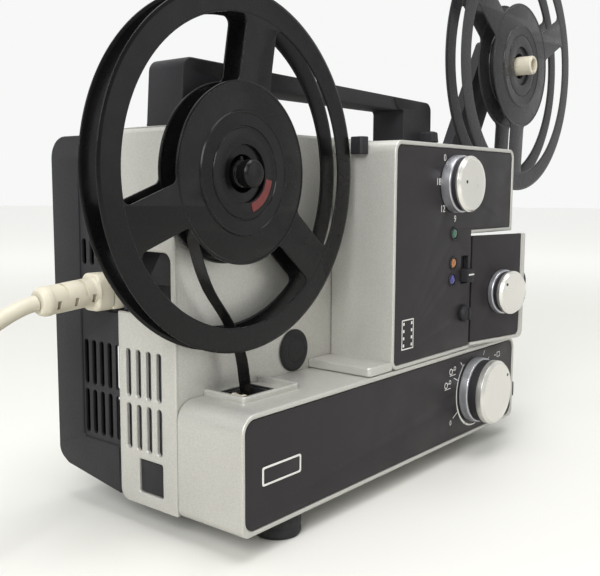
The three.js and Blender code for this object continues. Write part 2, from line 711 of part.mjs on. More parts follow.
// ---------------------------------------------------------------- mains lead
const CORD_ROUTE = [[-43.6, 96, 108.7], [-48.6, 96, 107.8], [-55, 96, 105.8], [-65, 96, 101.4],
  [-75.4, 95.8, 95], [-85, 95.2, 87], [-93.6, 94.4, 77.4], [-100.6, 93, 66.4],
  [-106.8, 91, 52.4], [-111.2, 88.2, 38], [-112.8, 86, 26.1], [-112.9, 83.4, 13.1],
  [-113, 76, 2.1], [-113, 65, -5.3], [-113, 52, -7.9]];

function mainsConnector() {
  const nose = box(-1, 18, 89, 103, 101.6, 118.4);
  const collar = alongX(rectangle(-7.4, 7.4, -8.7, 10.9, 3), -11.7, -0.6, 4);
  const relief = turnedX([[0, -32], [6.2, -32], [7, -30], [7.4, -26], [7.4, 0.3], [0, 0.3]], 24);
  relief.rotateY(-0.085).translate(-11, INLET.y, INLET.z + 1.5);
  return join(nose, collar.translate(0, INLET.y, INLET.z), relief);
}

function mainsCord() {
  const route = new THREE.CatmullRomCurve3(CORD_ROUTE.map((point) => new THREE.Vector3(...point)));
  const section = new THREE.Shape();
  section.absarc(0, 0, CORD.diameter / 2, 0, Math.PI * 2, false);
  const settings = { steps: 30, curveSegments: 5, extrudePath: route, bevelEnabled: false };
  return new THREE.ExtrudeGeometry(section, settings);
}

// Two layers of three turns, lying on the table.
function cordCoil() {
  const { diameter, coilRadius, coilX, coilY } = CORD;
  const half = 1.5 * diameter;
  const low = 0.1 - FOOT_HEIGHT;
  return turnedZ([[coilRadius - half, low], [coilRadius + half - 0.4, low],
    [coilRadius + half - 0.4, low + 16], [coilRadius - half, low + 16], [coilRadius - half, low]], 40)
    .translate(coilX, coilY, 0);
}

function mainsPlug() {
  const body = turnedX([[0, -40], [7.5, -40], [9, -37], [9, -12], [6, -4], [4.2, 20], [0, 20]], 24);
  const pins = [-5, 5].map((side) => turnedX(rod(2, -59, -39), 12).translate(0, side, 0));
  return join(body, ...pins).translate(CORD.coilX, CORD.coilY - CORD.coilRadius, 13.8);
}

// ---------------------------------------------------------------- assembly
function addBase() {
  place(machine, 'base_cover', baseCover(), silverPaint);
  place(machine, 'base_panel', basePanel(), darkPanel);
  place(machine, 'bottom_plate', bottomPlate(), steel);
  place(groupAt(machine, 41, 14, 0), 'foot_vent_end_front', foot(), rubber);
  place(groupAt(machine, 41, 74, 0), 'foot_vent_end_back', foot(), rubber);
  place(groupAt(machine, 250, 74, 0), 'foot_lens_end_back', foot(), rubber);
  place(groupAt(machine, 263, 36, 0), 'levelling_foot', levellingFoot(), rubber);
  place(machine, 'lens_end_bumper', box(LENGTH + GAP, LENGTH + 5.8, 1.5, 9, 13, 24), rubber);
  place(machine, 'film_slot_guide', filmSlotGuide(), blackPlastic);
  place(groupAt(machine, 32, 0, BASE_HEIGHT - 4.1), 'film_roller', filmRoller(), ivory);
  place(machine, 'film_leader', filmLeader(), reelPlastic);
  addKnob(machine, 'function_knob', MAIN_KNOB);
}

function addChassis() {
  place(machine, 'chassis_shell', chassisShell(), silverPaint);
  place(machine, 'rear_cover', rearCover(), blackPlastic);
  place(machine, 'selector_window', selectorWindow(), blackPlastic);
  place(groupAt(machine, 90.5, 0, 72.3), 'access_plug', accessPlug(), rubber);
  place(machine, 'handle', handle(), blackPlastic);
  place(machine, 'mains_inlet', mainsInlet(), blackPlastic);
}

function addControls() {
  place(machine, 'control_housing', controlHousing(), silverPaint);
  place(machine, 'control_panel', controlPanel(), darkPanel);
  for (const { name, x, z, material } of INDICATORS) {
    place(groupAt(machine, x, 0, z), name, indicatorLens(), material);
  }
  place(machine, 'format_slider', formatSlider(), blackPlastic);
  place(groupAt(machine, FRAMING.x, 0, FRAMING.z), 'framing_knob', framingKnob(), blackPlastic);
  place(machine, 'rewind_film_guide', rewindGuide(), blackPlastic);
  place(machine, 'threading_key', threadingKey(), blackPlastic);
  addKnob(machine, 'speed_knob', SPEED_KNOB);
}

function addReels() {
  const takeUp = addReel(machine, 'take_up', { ...TAKE_UP, radius: REEL.radius }, 45, 80, reelPlastic);
  place(takeUp, 'take_up_spindle', takeUpSpindle(), reelPlastic);
  const supply = addReel(machine, 'supply', SUPPLY, 46, 266, reelPlastic);
  place(supply, 'supply_spindle', supplySpindle(), ivory);
  place(machine, 'supply_arm', supplyArm(), blackPlastic);
  place(machine, 'arm_pivot', armPivot(), steel);
}

function addWorks() {
  place(machine, 'lamp_house', lampHouse(), steel);
  place(machine, 'reflector_lamp', reflectorLamp(), clearGlass);
  place(machine, 'film_gate', filmGate(), steel);
  place(machine, 'shutter', shutter(), steel);
  place(machine, 'motor_stator', motorStator(), copper);
  place(machine, 'motor_shaft', motorShaft(), steel);
  place(machine, 'cooling_fan', coolingFan(), blackPlastic);
  place(machine, 'shutter_belt', shutterBelt(), rubber);
  place(machine, 'transformer', transformer(), steel);
}

function addMainsLead() {
  place(machine, 'mains_connector', mainsConnector(), ivory);
  place(machine, 'mains_cord', mainsCord(), ivory);
  place(machine, 'cord_coil', cordCoil(), ivory);
  place(machine, 'mains_plug', mainsPlug(), ivory);
}

addBase();
addChassis();
addControls();
addLensCarrier(machine);
addReels();
addWorks();
addMainsLead();

export default projector;
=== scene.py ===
"""Looks of a table-top film projector: finely rounded shells, spun knobs, moulded reels and
procedural materials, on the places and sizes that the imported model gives."""
import json
import math

import bmesh
import bpy
from mathutils import Matrix, Vector


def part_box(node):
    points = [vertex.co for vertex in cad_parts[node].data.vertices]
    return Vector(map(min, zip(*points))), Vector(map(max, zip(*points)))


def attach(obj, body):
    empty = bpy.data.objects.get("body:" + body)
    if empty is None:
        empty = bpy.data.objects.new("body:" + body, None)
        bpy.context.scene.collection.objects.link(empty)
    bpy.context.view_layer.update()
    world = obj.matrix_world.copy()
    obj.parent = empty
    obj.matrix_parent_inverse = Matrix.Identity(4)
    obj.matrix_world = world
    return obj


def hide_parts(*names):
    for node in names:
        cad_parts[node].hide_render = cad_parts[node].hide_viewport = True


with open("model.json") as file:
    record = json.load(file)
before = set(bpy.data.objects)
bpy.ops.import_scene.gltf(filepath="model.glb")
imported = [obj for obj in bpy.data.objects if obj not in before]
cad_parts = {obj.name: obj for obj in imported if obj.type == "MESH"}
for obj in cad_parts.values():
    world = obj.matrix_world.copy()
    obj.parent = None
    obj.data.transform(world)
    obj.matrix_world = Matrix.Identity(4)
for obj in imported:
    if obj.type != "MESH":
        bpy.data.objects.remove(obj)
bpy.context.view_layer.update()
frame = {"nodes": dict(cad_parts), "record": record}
MM = 0.001

# Dimensions below are in millimetres from the base's sharp corner, as on the machine's drawing:
# X 0 at the cooling-vent end, Y 0 at the operator's face, Z 0 at the base's underside.
CORNER = Vector((188.6, 62.4, -12.0))
FRONT = (0, -1, 0)
BACK = (0, 1, 0)
LENSWARD = (1, 0, 0)
DOWN = (0, 0, -1)

LENGTH = 289
BASE_TOP = 59.7
FRONT_WALL = 44.4
CHASSIS_TOP = 194.9
FUNCTION_KNOB = (229.5, 30.7)
SPEED_KNOB = (195.3, 167.9)
FOCUS_KNOB = (253.3, 95.5)
FRAMING_KNOB = (210.3, 84.6)
TAKE_UP = (30.4, 171.8)
SUPPLY = (341.2, 258.7)
LENS_AXIS = (32.4, 97)
DOOR_HINGE_X = 219.8
DOOR_AJAR_DEG = 10.5
SHAFT_HOLE = 4.4
BODY = "machine_body"


def at(x, y, z):
    return (Vector((x, y, z)) - CORNER) * MM


def on_axis(place, y=0):
    """A point on an axis that runs from front to back, given by its (x, z)."""
    return at(place[0], y, place[1])


def centre_of(node):
    low, high = (Vector(corner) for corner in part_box(node))
    return (low + high) / 2


# ---------------------------------------------------------------- camera
CAMERA_PLACE = at(-272.2, -255.65, 164.58)
CAMERA_YAW = math.radians(50.838)
CAMERA_PITCH = math.radians(6.816)
CAMERA_ROLL = math.radians(0.267)


def linked(name, data):
    """A new object in the scene."""
    thing = bpy.data.objects.new(name, data)
    bpy.context.collection.objects.link(thing)
    return thing


def make_camera():
    data = bpy.data.cameras.new("camera")
    data.lens = 49.87
    data.sensor_width = 36
    data.clip_start = 0.01
    camera = linked("camera", data)
    turn = (Matrix.Rotation(-CAMERA_YAW, 4, "Z")
            @ Matrix.Rotation(math.pi / 2 - CAMERA_PITCH, 4, "X")
            @ Matrix.Rotation(CAMERA_ROLL, 4, "Z"))
    camera.matrix_world = Matrix.Translation(CAMERA_PLACE) @ turn
    bpy.context.scene.camera = camera


make_camera()


# ---------------------------------------------------------------- materials
# A ring wave texture of scale 1 has about this many rings in a metre.
RINGS_PER_UNIT = 3.2


def linear(value):
    value /= 255
    return value / 12.92 if value <= 0.04045 else ((value + 0.055) / 1.055) ** 2.4


def rgb(red, green, blue):
    return (linear(red), linear(green), linear(blue), 1)


def fill(node, values):
    """Sets a shader node's own sockets."""
    for key, value in values.items():
        node.inputs[key].default_value = value


class Material:
    """A node material that is built up from a Principled shader."""

    def __init__(self, name, slot, colour, roughness, metallic=0.0):
        self.slot = slot
        self.data = bpy.data.materials.new(name)
        self.data.use_nodes = True
        self.data.diffuse_color = colour
        self.tree = self.data.node_tree
        self.shader = self.tree.nodes["Principled BSDF"]
        self.fill({"Base Color": colour, "Roughness": roughness, "Metallic": metallic})
        self.colour = colour
        self.normal = None

    def fill(self, values):
        fill(self.shader, values)

    def node(self, kind, values=(), **attributes):
        node = self.tree.nodes.new(kind)
        for key, value in attributes.items():
            setattr(node, key, value)
        fill(node, dict(values))
        return node

    def link(self, source, target):
        self.tree.links.new(source, target)

    def coordinates(self, shift=(0, 0, 0), stretch=(1, 1, 1)):
        mapping = self.node("ShaderNodeMapping", {"Location": shift, "Scale": stretch})
        self.link(self.node("ShaderNodeTexCoord").outputs["Object"], mapping.inputs["Vector"])
        return mapping.outputs["Vector"]

    def noise(self, size_mm, detail=3.0, **where):
        noise = self.node("ShaderNodeTexNoise", {"Scale": 1000 / size_mm, "Detail": detail})
        self.link(self.coordinates(**where), noise.inputs["Vector"])
        return noise.outputs["Fac"]

    def cells(self, size_mm):
        cells = self.node("ShaderNodeTexVoronoi", {"Scale": 1000 / size_mm})
        self.link(self.coordinates(), cells.inputs["Vector"])
        return cells.outputs["Distance"]

    def rings(self, centre, size_mm):
        scale = 1000 / size_mm / RINGS_PER_UNIT
        rings = self.node("ShaderNodeTexWave", {"Scale": scale, "Distortion": 0.6, "Detail": 2},
                          wave_type="RINGS", rings_direction="Y")
        shift = [-value for value in centre]
        self.link(self.coordinates(shift=shift), rings.inputs["Vector"])
        return rings.outputs["Fac"]

    def spread(self, value, low, high, start=0.25, end=0.75, **attributes):
        spread = self.node("ShaderNodeMapRange", {"From Min": start, "From Max": end, "To Min": low,
                                                  "To Max": high}, **attributes)
        self.link(value, spread.inputs["Value"])
        return spread.outputs["Result"]

    def bump(self, value, height_mm, strength=1.0):
        bump = self.node("ShaderNodeBump", {"Strength": strength, "Distance": height_mm * MM})
        self.link(value, bump.inputs["Height"])
        if self.normal:
            self.link(self.normal, bump.inputs["Normal"])
        self.normal = bump.outputs["Normal"]
        self.link(self.normal, self.shader.inputs["Normal"])

    def tint(self, value, dark, light):
        """The base colour goes from dark to light shares of itself with value."""
        ramp = self.node("ShaderNodeValToRGB")
        ramp.color_ramp.elements[0].position = 0.3
        ramp.color_ramp.elements[1].position = 0.7
        for element, share in zip(ramp.color_ramp.elements, (dark, light)):
            element.color = [min(1, share * part) for part in self.colour[:3]] + [1]
        self.link(value, ramp.inputs["Fac"])
        self.link(ramp.outputs["Color"], self.shader.inputs["Base Color"])

    def painted_glow_far(self, near_m, far_m, strength):
        """Painted light: the surface glows more with distance from the middle, standing in for lit
        paper.
        """
        length = self.node("ShaderNodeVectorMath", operation="LENGTH")
        self.link(self.node("ShaderNodeTexCoord").outputs["Object"], length.inputs[0])
        glow = self.spread(length.outputs["Value"], 0, strength, near_m, far_m,
                           interpolation_type="SMOOTHSTEP")
        self.fill({"Emission Color": (1, 1, 1, 1)})
        self.link(glow, self.shader.inputs["Emission Strength"])

    def polish(self, value, low, high):
        self.link(self.spread(value, low, high), self.shader.inputs["Roughness"])


def silver_paint():
    paint = Material("silver paint", "silver_paint", rgb(188, 187, 181), 0.4, 0.45)
    paint.tint(paint.noise(0.6, 2), 0.9, 1.09)
    paint.polish(paint.noise(0.9, 3), 0.32, 0.48)
    paint.bump(paint.cells(0.7), 0.03, 0.42)
    paint.bump(paint.noise(26, 2), 0.15, 0.1)
    return paint


def dark_panel():
    panel = Material("dark panel", "dark_panel", rgb(44, 41, 43), 0.5, 0.05)
    panel.fill({"Specular IOR Level": 0.22})
    panel.tint(panel.noise(0.35, 2), 0.86, 1.14)
    panel.polish(panel.noise(18, 4), 0.4, 0.54)
    panel.bump(panel.noise(0.3, 1), 0.012, 0.5)
    return panel


def black_plastic():
    plastic = Material("grained black plastic", "black_plastic", rgb(36, 35, 38), 0.5)
    plastic.fill({"Specular IOR Level": 0.3})
    plastic.tint(plastic.noise(22, 4), 0.88, 1.12)
    plastic.polish(plastic.noise(1.3, 3), 0.44, 0.6)
    plastic.bump(plastic.cells(0.9), 0.06, 0.45)
    return plastic


def reel_plastic(name, colour):
    plastic = Material(name, "reel_plastic", colour, 0.3)
    plastic.fill({"Specular IOR Level": 0.18, "Coat Weight": 0.06, "Coat Roughness": 0.1})
    plastic.tint(plastic.noise(30, 4), 0.86, 1.14)
    plastic.polish(plastic.noise(9, 5), 0.2, 0.36)
    plastic.bump(plastic.noise(3.5, 2), 0.03, 0.25)
    return plastic


def spun_aluminium(centre, name):
    metal = Material(name, "spun_aluminium", rgb(228, 226, 220), 0.3, 0.85)
    metal.tint(metal.rings(centre, 0.5), 0.93, 1.0)
    metal.polish(metal.noise(6, 3), 0.26, 0.38)
    metal.bump(metal.rings(centre, 0.32), 0.01, 0.4)
    return metal


def chrome():
    metal = Material("chrome", "chrome", rgb(184, 185, 190), 0.3, 0.8)
    metal.tint(metal.noise(9, 3), 0.94, 1.03)
    metal.polish(metal.noise(5, 3), 0.26, 0.36)
    metal.bump(metal.noise(7, 2), 0.002, 0.03)
    return metal


def steel():
    metal = Material("sheet steel", "steel", rgb(150, 151, 153), 0.36, 0.9)
    metal.tint(metal.noise(5, 3, stretch=(1, 0.08, 1)), 0.85, 1.08)
    metal.polish(metal.noise(2, 3), 0.3, 0.46)
    metal.bump(metal.noise(0.6, 2, stretch=(1, 0.05, 1)), 0.02, 0.35)
    return metal


def rubber():
    black = Material("rubber", "rubber", rgb(30, 30, 31), 0.8)
    black.tint(black.noise(4, 3), 0.8, 1.25)
    black.polish(black.noise(2, 3), 0.7, 0.9)
    black.bump(black.noise(0.7, 2), 0.05, 0.4)
    return black


def ivory():
    plastic = Material("ivory plastic", "ivory_plastic", rgb(200, 194, 176), 0.45)
    plastic.fill({"Subsurface Weight": 0.08, "Subsurface Radius": (0.003, 0.002, 0.001)})
    plastic.tint(plastic.noise(11, 4), 0.93, 1.03)
    plastic.polish(plastic.noise(3, 3), 0.4, 0.54)
    plastic.bump(plastic.noise(1.6, 2), 0.03, 0.3)
    return plastic


def tinted_lens(name, slot, colour):
    lens = Material(name, slot, colour, 0.2)
    lens.fill({"Transmission Weight": 0.25, "Coat Weight": 0.6})
    lens.tint(lens.cells(0.8), 0.75, 1.2)
    lens.bump(lens.cells(0.8), 0.05, 0.3)
    return lens


def optical_glass():
    glass = Material("coated glass", "clear_glass", rgb(190, 205, 225), 0.03)
    glass.fill({"Transmission Weight": 0.9, "IOR": 1.5, "Coat Weight": 0.5})
    glass.tint(glass.noise(12, 2), 0.92, 1.05)
    return glass


def copper_winding():
    metal = Material("varnished winding", "copper_winding", rgb(160, 92, 50), 0.4, 0.7)
    metal.tint(metal.noise(1.2, 2, stretch=(1, 0.1, 0.1)), 0.6, 1.15)
    metal.bump(metal.noise(0.8, 1, stretch=(1, 0.05, 0.05)), 0.1, 0.6)
    return metal


def white_print():
    ink = Material("white print", "ivory_plastic", rgb(222, 221, 216), 0.5)
    ink.tint(ink.noise(1.0, 2), 0.88, 1.02)
    return ink


def red_mark():
    ink = Material("red mark", "orange_lens", rgb(104, 28, 26), 0.4)
    ink.tint(ink.noise(2.0, 2), 0.8, 1.1)
    return ink


def window_plate():
    plate_finish = Material("smoked window", "black_plastic", rgb(38, 37, 39), 0.5)
    plate_finish.fill({"Specular IOR Level": 0.25})
    plate_finish.tint(plate_finish.noise(9, 3), 0.9, 1.1)
    plate_finish.polish(plate_finish.noise(4, 3), 0.42, 0.56)
    return plate_finish


SILVER = silver_paint()
PANEL = dark_panel()
BLACK = black_plastic()
REEL = reel_plastic("moulded reel plastic", rgb(15, 14, 15))
# a lighter grey plastic for the supply reel
GREY_REEL = reel_plastic("grey reel plastic", rgb(52, 51, 53))
CHROME = chrome()
STEEL = steel()
RUBBER = rubber()
IVORY = ivory()
PRINT = white_print()
GLASS = optical_glass()
COPPER = copper_winding()
GREEN = tinted_lens("green lens", "green_lens", rgb(30, 98, 72))
ORANGE = tinted_lens("orange lens", "orange_lens", rgb(172, 106, 42))
BLUE = tinted_lens("blue lens", "blue_lens", rgb(50, 46, 142))
RED = red_mark()
WINDOW = window_plate()


# ---------------------------------------------------------------- mesh tools
def add_piece(name, mesh, material, body=BODY, replaces=()):
    piece = linked(name, mesh)
    mesh.materials.clear()
    mesh.materials.append(material.data)
    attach(piece, body)
    if replaces:
        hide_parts(*replaces)
    return piece


def finished(node, mesh, material, body=BODY):
    """The finished shape of one CAD node, in that node's place."""
    add_piece(f"{node}_finished", mesh, material, body, [node])


def finish_mesh(bm, smooth_deg=32):
    bmesh.ops.remove_doubles(bm, verts=bm.verts, dist=2e-6)
    bmesh.ops.recalc_face_normals(bm, faces=bm.faces)
    mesh = bpy.data.meshes.new("finished")
    bm.to_mesh(mesh)
    bm.free()
    mesh.polygons.foreach_set("use_smooth", [True] * len(mesh.polygons))
    mesh.set_sharp_from_angle(angle=math.radians(smooth_deg))
    return mesh


def evaluated(data, cutters=()):
    """The mesh that a mesh or a curve gives, with the cutters taken off it."""
    body = linked("body", data)
    helpers = []
    for cutter in cutters:
        helper = linked("cutter", cutter)
        helper.hide_render = True
        helpers.append(helper)
        step = body.modifiers.new("cut", "BOOLEAN")
        step.operation = "DIFFERENCE"
        step.solver = "EXACT"
        step.object = helper
    graph = bpy.context.evaluated_depsgraph_get()
    mesh = bpy.data.meshes.new_from_object(body.evaluated_get(graph))
    for thing in [body] + helpers:
        bpy.data.objects.remove(thing)
    return mesh


def carved(mesh, *cutters):
    return evaluated(mesh, cutters)


def combined(*meshes):
    bm = bmesh.new()
    for mesh in meshes:
        bm.from_mesh(mesh)
    return finish_mesh(bm)


def softened(node, width_mm, segments=2, edge_deg=28):
    """The shape of a CAD node with its sharp edges rounded."""
    bm = bmesh.new()
    bm.from_mesh(frame["nodes"][node].data)
    bmesh.ops.remove_doubles(bm, verts=bm.verts, dist=2e-6)
    bmesh.ops.dissolve_limit(bm, angle_limit=math.radians(1.2), verts=bm.verts, edges=bm.edges)
    edges = [edge for edge in bm.edges
             if len(edge.link_faces) == 2 and edge.calc_face_angle(0) > math.radians(edge_deg)]
    bmesh.ops.bevel(bm, geom=edges, offset=width_mm * MM, segments=segments, profile=0.6,
                    affect="EDGES", clamp_overlap=True, offset_type="OFFSET")
    return finish_mesh(bm)


def soften_node(node, width_mm, material, body=BODY, **options):
    finished(node, softened(node, width_mm, **options), material, body)


def turned(profile, centre, axis, segments, ribs, closed):
    """A solid of revolution: profile is (radius, distance along axis) in millimetres.
    ribs is (count, depth in mm, first row, last row): rows of the profile that are fluted."""
    axis = Vector(axis).normalized()
    side = axis.orthogonal().normalized()
    other = axis.cross(side)
    bm = bmesh.new()
    rows = []
    for radius, along in profile:
        if radius < 1e-6:
            rows.append([bm.verts.new(Vector(centre) + axis * along * MM)])
            continue
        row = []
        for step in range(segments):
            angle = 2 * math.pi * step / segments
            reach = radius
            if ribs and ribs[2] <= along <= ribs[3]:
                reach -= ribs[1] * (0.5 - 0.5 * math.cos(angle * ribs[0]))
            out = side * math.cos(angle) + other * math.sin(angle)
            row.append(bm.verts.new(Vector(centre) + out * reach * MM + axis * along * MM))
        rows.append(row)
    pairs = list(zip(rows, rows[1:]))
    if closed:
        pairs.append((rows[-1], rows[0]))
    for low, high in pairs:
        for step in range(segments):
            after = (step + 1) % segments
            if len(low) == 1 and len(high) == 1:
                continue
            if len(low) == 1:
                bm.faces.new((low[0], high[step], high[after]))
            elif len(high) == 1:
                bm.faces.new((low[step], high[0], low[after]))
            else:
                bm.faces.new((low[step], high[step], high[after], low[after]))
    return bm


def rounded(profile, radius_mm, closed, steps=3):
    """A profile whose corners are rounded."""
    points = [Vector(point) for point in profile]
    if closed:
        triples = list(zip([points[-1]] + points[:-1], points, points[1:] + [points[0]]))
        result = []
    else:
        triples = list(zip(points, points[1:], points[2:]))
        result = [tuple(points[0])]
    for before, here, after in triples:
        arm_in = before - here
        arm_out = after - here
        reach = min(radius_mm, arm_in.length * 0.45, arm_out.length * 0.45)
        start = here + arm_in.normalized() * reach
        end = here + arm_out.normalized() * reach
        for step in range(steps + 1):
            share = step / steps
            curve = (start * (1 - share) ** 2 + here * 2 * share * (1 - share)
                     + end * share ** 2)
            result.append((max(curve.x, 0), curve.y))
    if not closed:
        result.append(tuple(points[-1]))
    return result


def lathe(profile, centre, axis=FRONT, round_mm=0.4, segments=96, ribs=None, closed=False):
    bm = turned(rounded(profile, round_mm, closed), centre, axis, segments, ribs, closed)
    return finish_mesh(bm)


def smooth(corners, steps=7):
    """A closed outline whose corners, each (x, y, radius), are turned into arcs."""
    points = []
    count = len(corners)
    for index, (x, y, radius) in enumerate(corners):
        here = Vector((x, y))
        before = Vector(corners[index - 1][:2]) - here
        after = Vector(corners[(index + 1) % count][:2]) - here
        if radius <= 0:
            points.append((x, y))
            continue
        half = before.angle(after) / 2
        reach = min(radius / math.tan(half), 0.95 * before.length, 0.95 * after.length)
        size = reach * math.tan(half)
        middle = here + (before.normalized() + after.normalized()).normalized() * (
            size / math.sin(half))
        start = here + before.normalized() * reach - middle
        end = here + after.normalized() * reach - middle
        first = math.atan2(start.y, start.x)
        sweep = math.atan2(end.y, end.x) - first
        sweep = (sweep + math.pi) % (2 * math.pi) - math.pi
        for step in range(steps + 1):
            angle = first + sweep * step / steps
            points.append((middle.x + size * math.cos(angle), middle.y + size * math.sin(angle)))
    return points


def box_outline(x0, x1, y0, y1, radius=0.0, steps=7):
    return smooth([(x0, y0, radius), (x1, y0, radius), (x1, y1, radius), (x0, y1, radius)], steps)


def arc(radius, from_deg, to_deg, steps, x=0.0, y=0.0):
    angles = (math.radians(from_deg + (to_deg - from_deg) * step / steps)
              for step in range(steps + 1))
    return [(x + radius * math.cos(angle), y + radius * math.sin(angle)) for angle in angles]


def disc_outline(x, y, radius, steps=48):
    return arc(radius, 0, 360, steps, x, y)[:-1]


TURNS = {
    "Y": Matrix(((1, 0, 0), (0, 0, -1), (0, 1, 0))).to_4x4(),
    "X": Matrix(((0, 0, 1), (1, 0, 0), (0, 1, 0))).to_4x4(),
    "Z": Matrix.Identity(4),
}


def plate(shapes, low, high, axis="Y", round_mm=0.4, steps=2):
    """A flat piece between two places on an axis, with rounded edges. Its shapes are closed
    outlines in the other two axes: the outer one and its holes."""
    curve = bpy.data.curves.new("outline", "CURVE")
    curve.dimensions = "2D"
    curve.fill_mode = "BOTH"
    curve.extrude = (high - low) / 2 - round_mm
    curve.bevel_depth = round_mm
    curve.bevel_resolution = steps
    curve.offset = -round_mm
    for shape in shapes:
        spline = curve.splines.new("POLY")
        spline.points.add(len(shape) - 1)
        for point, (x, y) in zip(spline.points, shape):
            point.co = (x, y, 0, 1)
        spline.use_cyclic_u = True
    mesh = evaluated(curve)
    middle = (high + low) / 2
    shift = {"Y": (0, middle, 0), "X": (middle, 0, 0), "Z": (0, 0, middle)}[axis]
    mesh.transform(Matrix.Translation(at(*shift)) @ Matrix.Scale(MM, 4) @ TURNS[axis])
    bm = bmesh.new()
    bm.from_mesh(mesh)
    return finish_mesh(bm)


def block(x0, x1, y0, y1, z0, z1, round_mm=0.5, steps=2):
    bm = bmesh.new()
    bmesh.ops.create_cube(bm, size=1)
    size = Vector((x1 - x0, y1 - y0, z1 - z0)) * MM
    bmesh.ops.scale(bm, vec=size, verts=bm.verts)
    bmesh.ops.translate(bm, vec=at((x0 + x1) / 2, (y0 + y1) / 2, (z0 + z1) / 2), verts=bm.verts)
    if round_mm:
        bmesh.ops.bevel(bm, geom=bm.edges[:], offset=round_mm * MM, segments=steps, profile=0.6,
                        affect="EDGES", clamp_overlap=True)
    return finish_mesh(bm)


def lettering(words, x, z, height_mm, y=0.58, depth_mm=0.05):
    """Raised figures that face the operator."""
    curve = bpy.data.curves.new("figures", "FONT")
    curve.body = words
    curve.size = height_mm * 1.42
    curve.align_x = "CENTER"
    curve.align_y = "CENTER"
    curve.extrude = depth_mm / 2
    curve.resolution_u = 3
    mesh = evaluated(curve)
    mesh.transform(Matrix.Translation(at(x, y, z)) @ Matrix.Scale(MM, 4) @ TURNS["Y"])
    return mesh


def screws(places, axis, radius=2.6):
    """Slotted domed screw heads, each with its place, facing along axis."""
    heads = []
    for index, (x, y, z) in enumerate(places):
        centre = at(x, y, z)
        head = lathe([(0, 0.9), (radius * 0.7, 0.9), (radius, 0.2), (radius, -0.3), (0, -0.3)],
                     centre, axis, 0.3, 32)
        turn = Vector((0, 0, 1)).rotation_difference(Vector(axis)).to_matrix().to_4x4()
        slit = bmesh.new()
        bmesh.ops.create_cube(slit, size=1)
        bmesh.ops.scale(slit, vec=Vector((radius * 2.4, 0.6, 1.1)) * MM, verts=slit.verts)
        slit.transform(Matrix.Translation(centre + Vector(axis) * 0.95 * MM) @ turn
                       @ Matrix.Rotation(0.5 + index * 1.1, 4, "Z"))
        heads.append(carved(head, finish_mesh(slit)))
    return combined(*heads)


# ---------------------------------------------------------------- mains lead
CORD_ROUTE = [(-43.6, 96, 108.7), (-48.6, 96, 107.8), (-55, 96, 105.8), (-65, 96, 101.4),
              (-75.4, 95.8, 95), (-85, 95.2, 87), (-93.6, 94.4, 77.4), (-100.6, 93, 66.4),
              (-106.8, 91, 52.4), (-111.2, 88.2, 38), (-112.8, 86, 26.1),
              (-112.9, 83.4, 13.1), (-113, 76, 2.1), (-113, 65, -5.3), (-113, 52, -7.9)]
CORD_DIAMETER = 8
COIL_CENTRE = (-165, 22)
COIL_OUTER = 52
COIL_INNER = 33
COIL_TURNS = 6
PLUG_ENTRY = (-146, -22, 13.8)
SLEEVE_DROOP = 0.085


def ease(share):
    share = min(1, max(0, share))
    return share * share * (3 - 2 * share)


def coil_radius(turn):
    if turn <= 2:
        return COIL_OUTER - CORD_DIAMETER * turn
    if turn <= 3:
        return 36 - 3 * (turn - 2)
    return min(COIL_OUTER, COIL_INNER + CORD_DIAMETER * (turn - 3))


def coil_points():
    """Three turns inwards on the table, and three outwards on top of them."""
    points = []
    steps = 24
    for index in range(COIL_TURNS * steps + 1):
        turn = index / steps
        rise = 8 * ease((turn - 1.9) / 0.9) + 7 * ease((turn - 5.35) / 0.65)
        angle = -2 * math.pi * turn
        reach = coil_radius(turn)
        points.append((COIL_CENTRE[0] + reach * math.cos(angle),
                       COIL_CENTRE[1] + reach * math.sin(angle), rise - 7.9))
    return points


def rise_to_plug():
    """A quarter turn from the coil's outermost place to the plug's cord end."""
    x, y, height = PLUG_ENTRY
    points = []
    for step in range(1, 7):
        angle = -math.pi / 2 * step / 6
        points.append((x + 33 * math.cos(angle), y + 33 + 33 * math.sin(angle),
                       7.1 + (height - 7.1) * ease(step / 6)))
    return points


def smooth_path(points, per_span=6):
    """Points of a Catmull-Rom curve through the given ones."""
    knots = [Vector(point) for point in points]
    knots = [knots[0] * 2 - knots[1]] + knots + [knots[-1] * 2 - knots[-2]]
    result = []
    for a, b, c, d in zip(knots, knots[1:], knots[2:], knots[3:]):
        for step in range(per_span):
            t = step / per_span
            result.append(0.5 * (2 * b + (c - a) * t + (2 * a - 5 * b + 4 * c - d) * t * t
                                 + (3 * b - a - 3 * c + d) * t ** 3))
    result.append(knots[-2])
    return result


def tube(path_mm, radius_mm, sides=16):
    """A round tube along the path, with closed ends."""
    points = [at(*point) for point in path_mm]
    bm = bmesh.new()
    tangent = (points[1] - points[0]).normalized()
    side = tangent.orthogonal().normalized()
    rows = []
    for index, point in enumerate(points):
        ahead = points[min(index + 1, len(points) - 1)] - points[max(index - 1, 0)]
        tangent = ahead.normalized()
        side = (side - tangent * side.dot(tangent)).normalized()
        other = tangent.cross(side)
        rows.append([bm.verts.new(point + (side * math.cos(angle) + other * math.sin(angle))
                                  * radius_mm * MM)
                     for angle in (2 * math.pi * step / sides for step in range(sides))])
    for low, high in zip(rows, rows[1:]):
        for step in range(sides):
            after = (step + 1) % sides
            bm.faces.new((low[step], low[after], high[after], high[step]))
    bm.faces.new(rows[0])
    bm.faces.new(rows[-1])
    return finish_mesh(bm, 60)


def mains_lead():
    path = smooth_path(CORD_ROUTE + coil_points() + rise_to_plug(), 3)
    lead = add_piece("mains_lead", tube(path, CORD_DIAMETER / 2), IVORY, BODY,
                     ["mains_cord", "cord_coil"])


mains_lead()


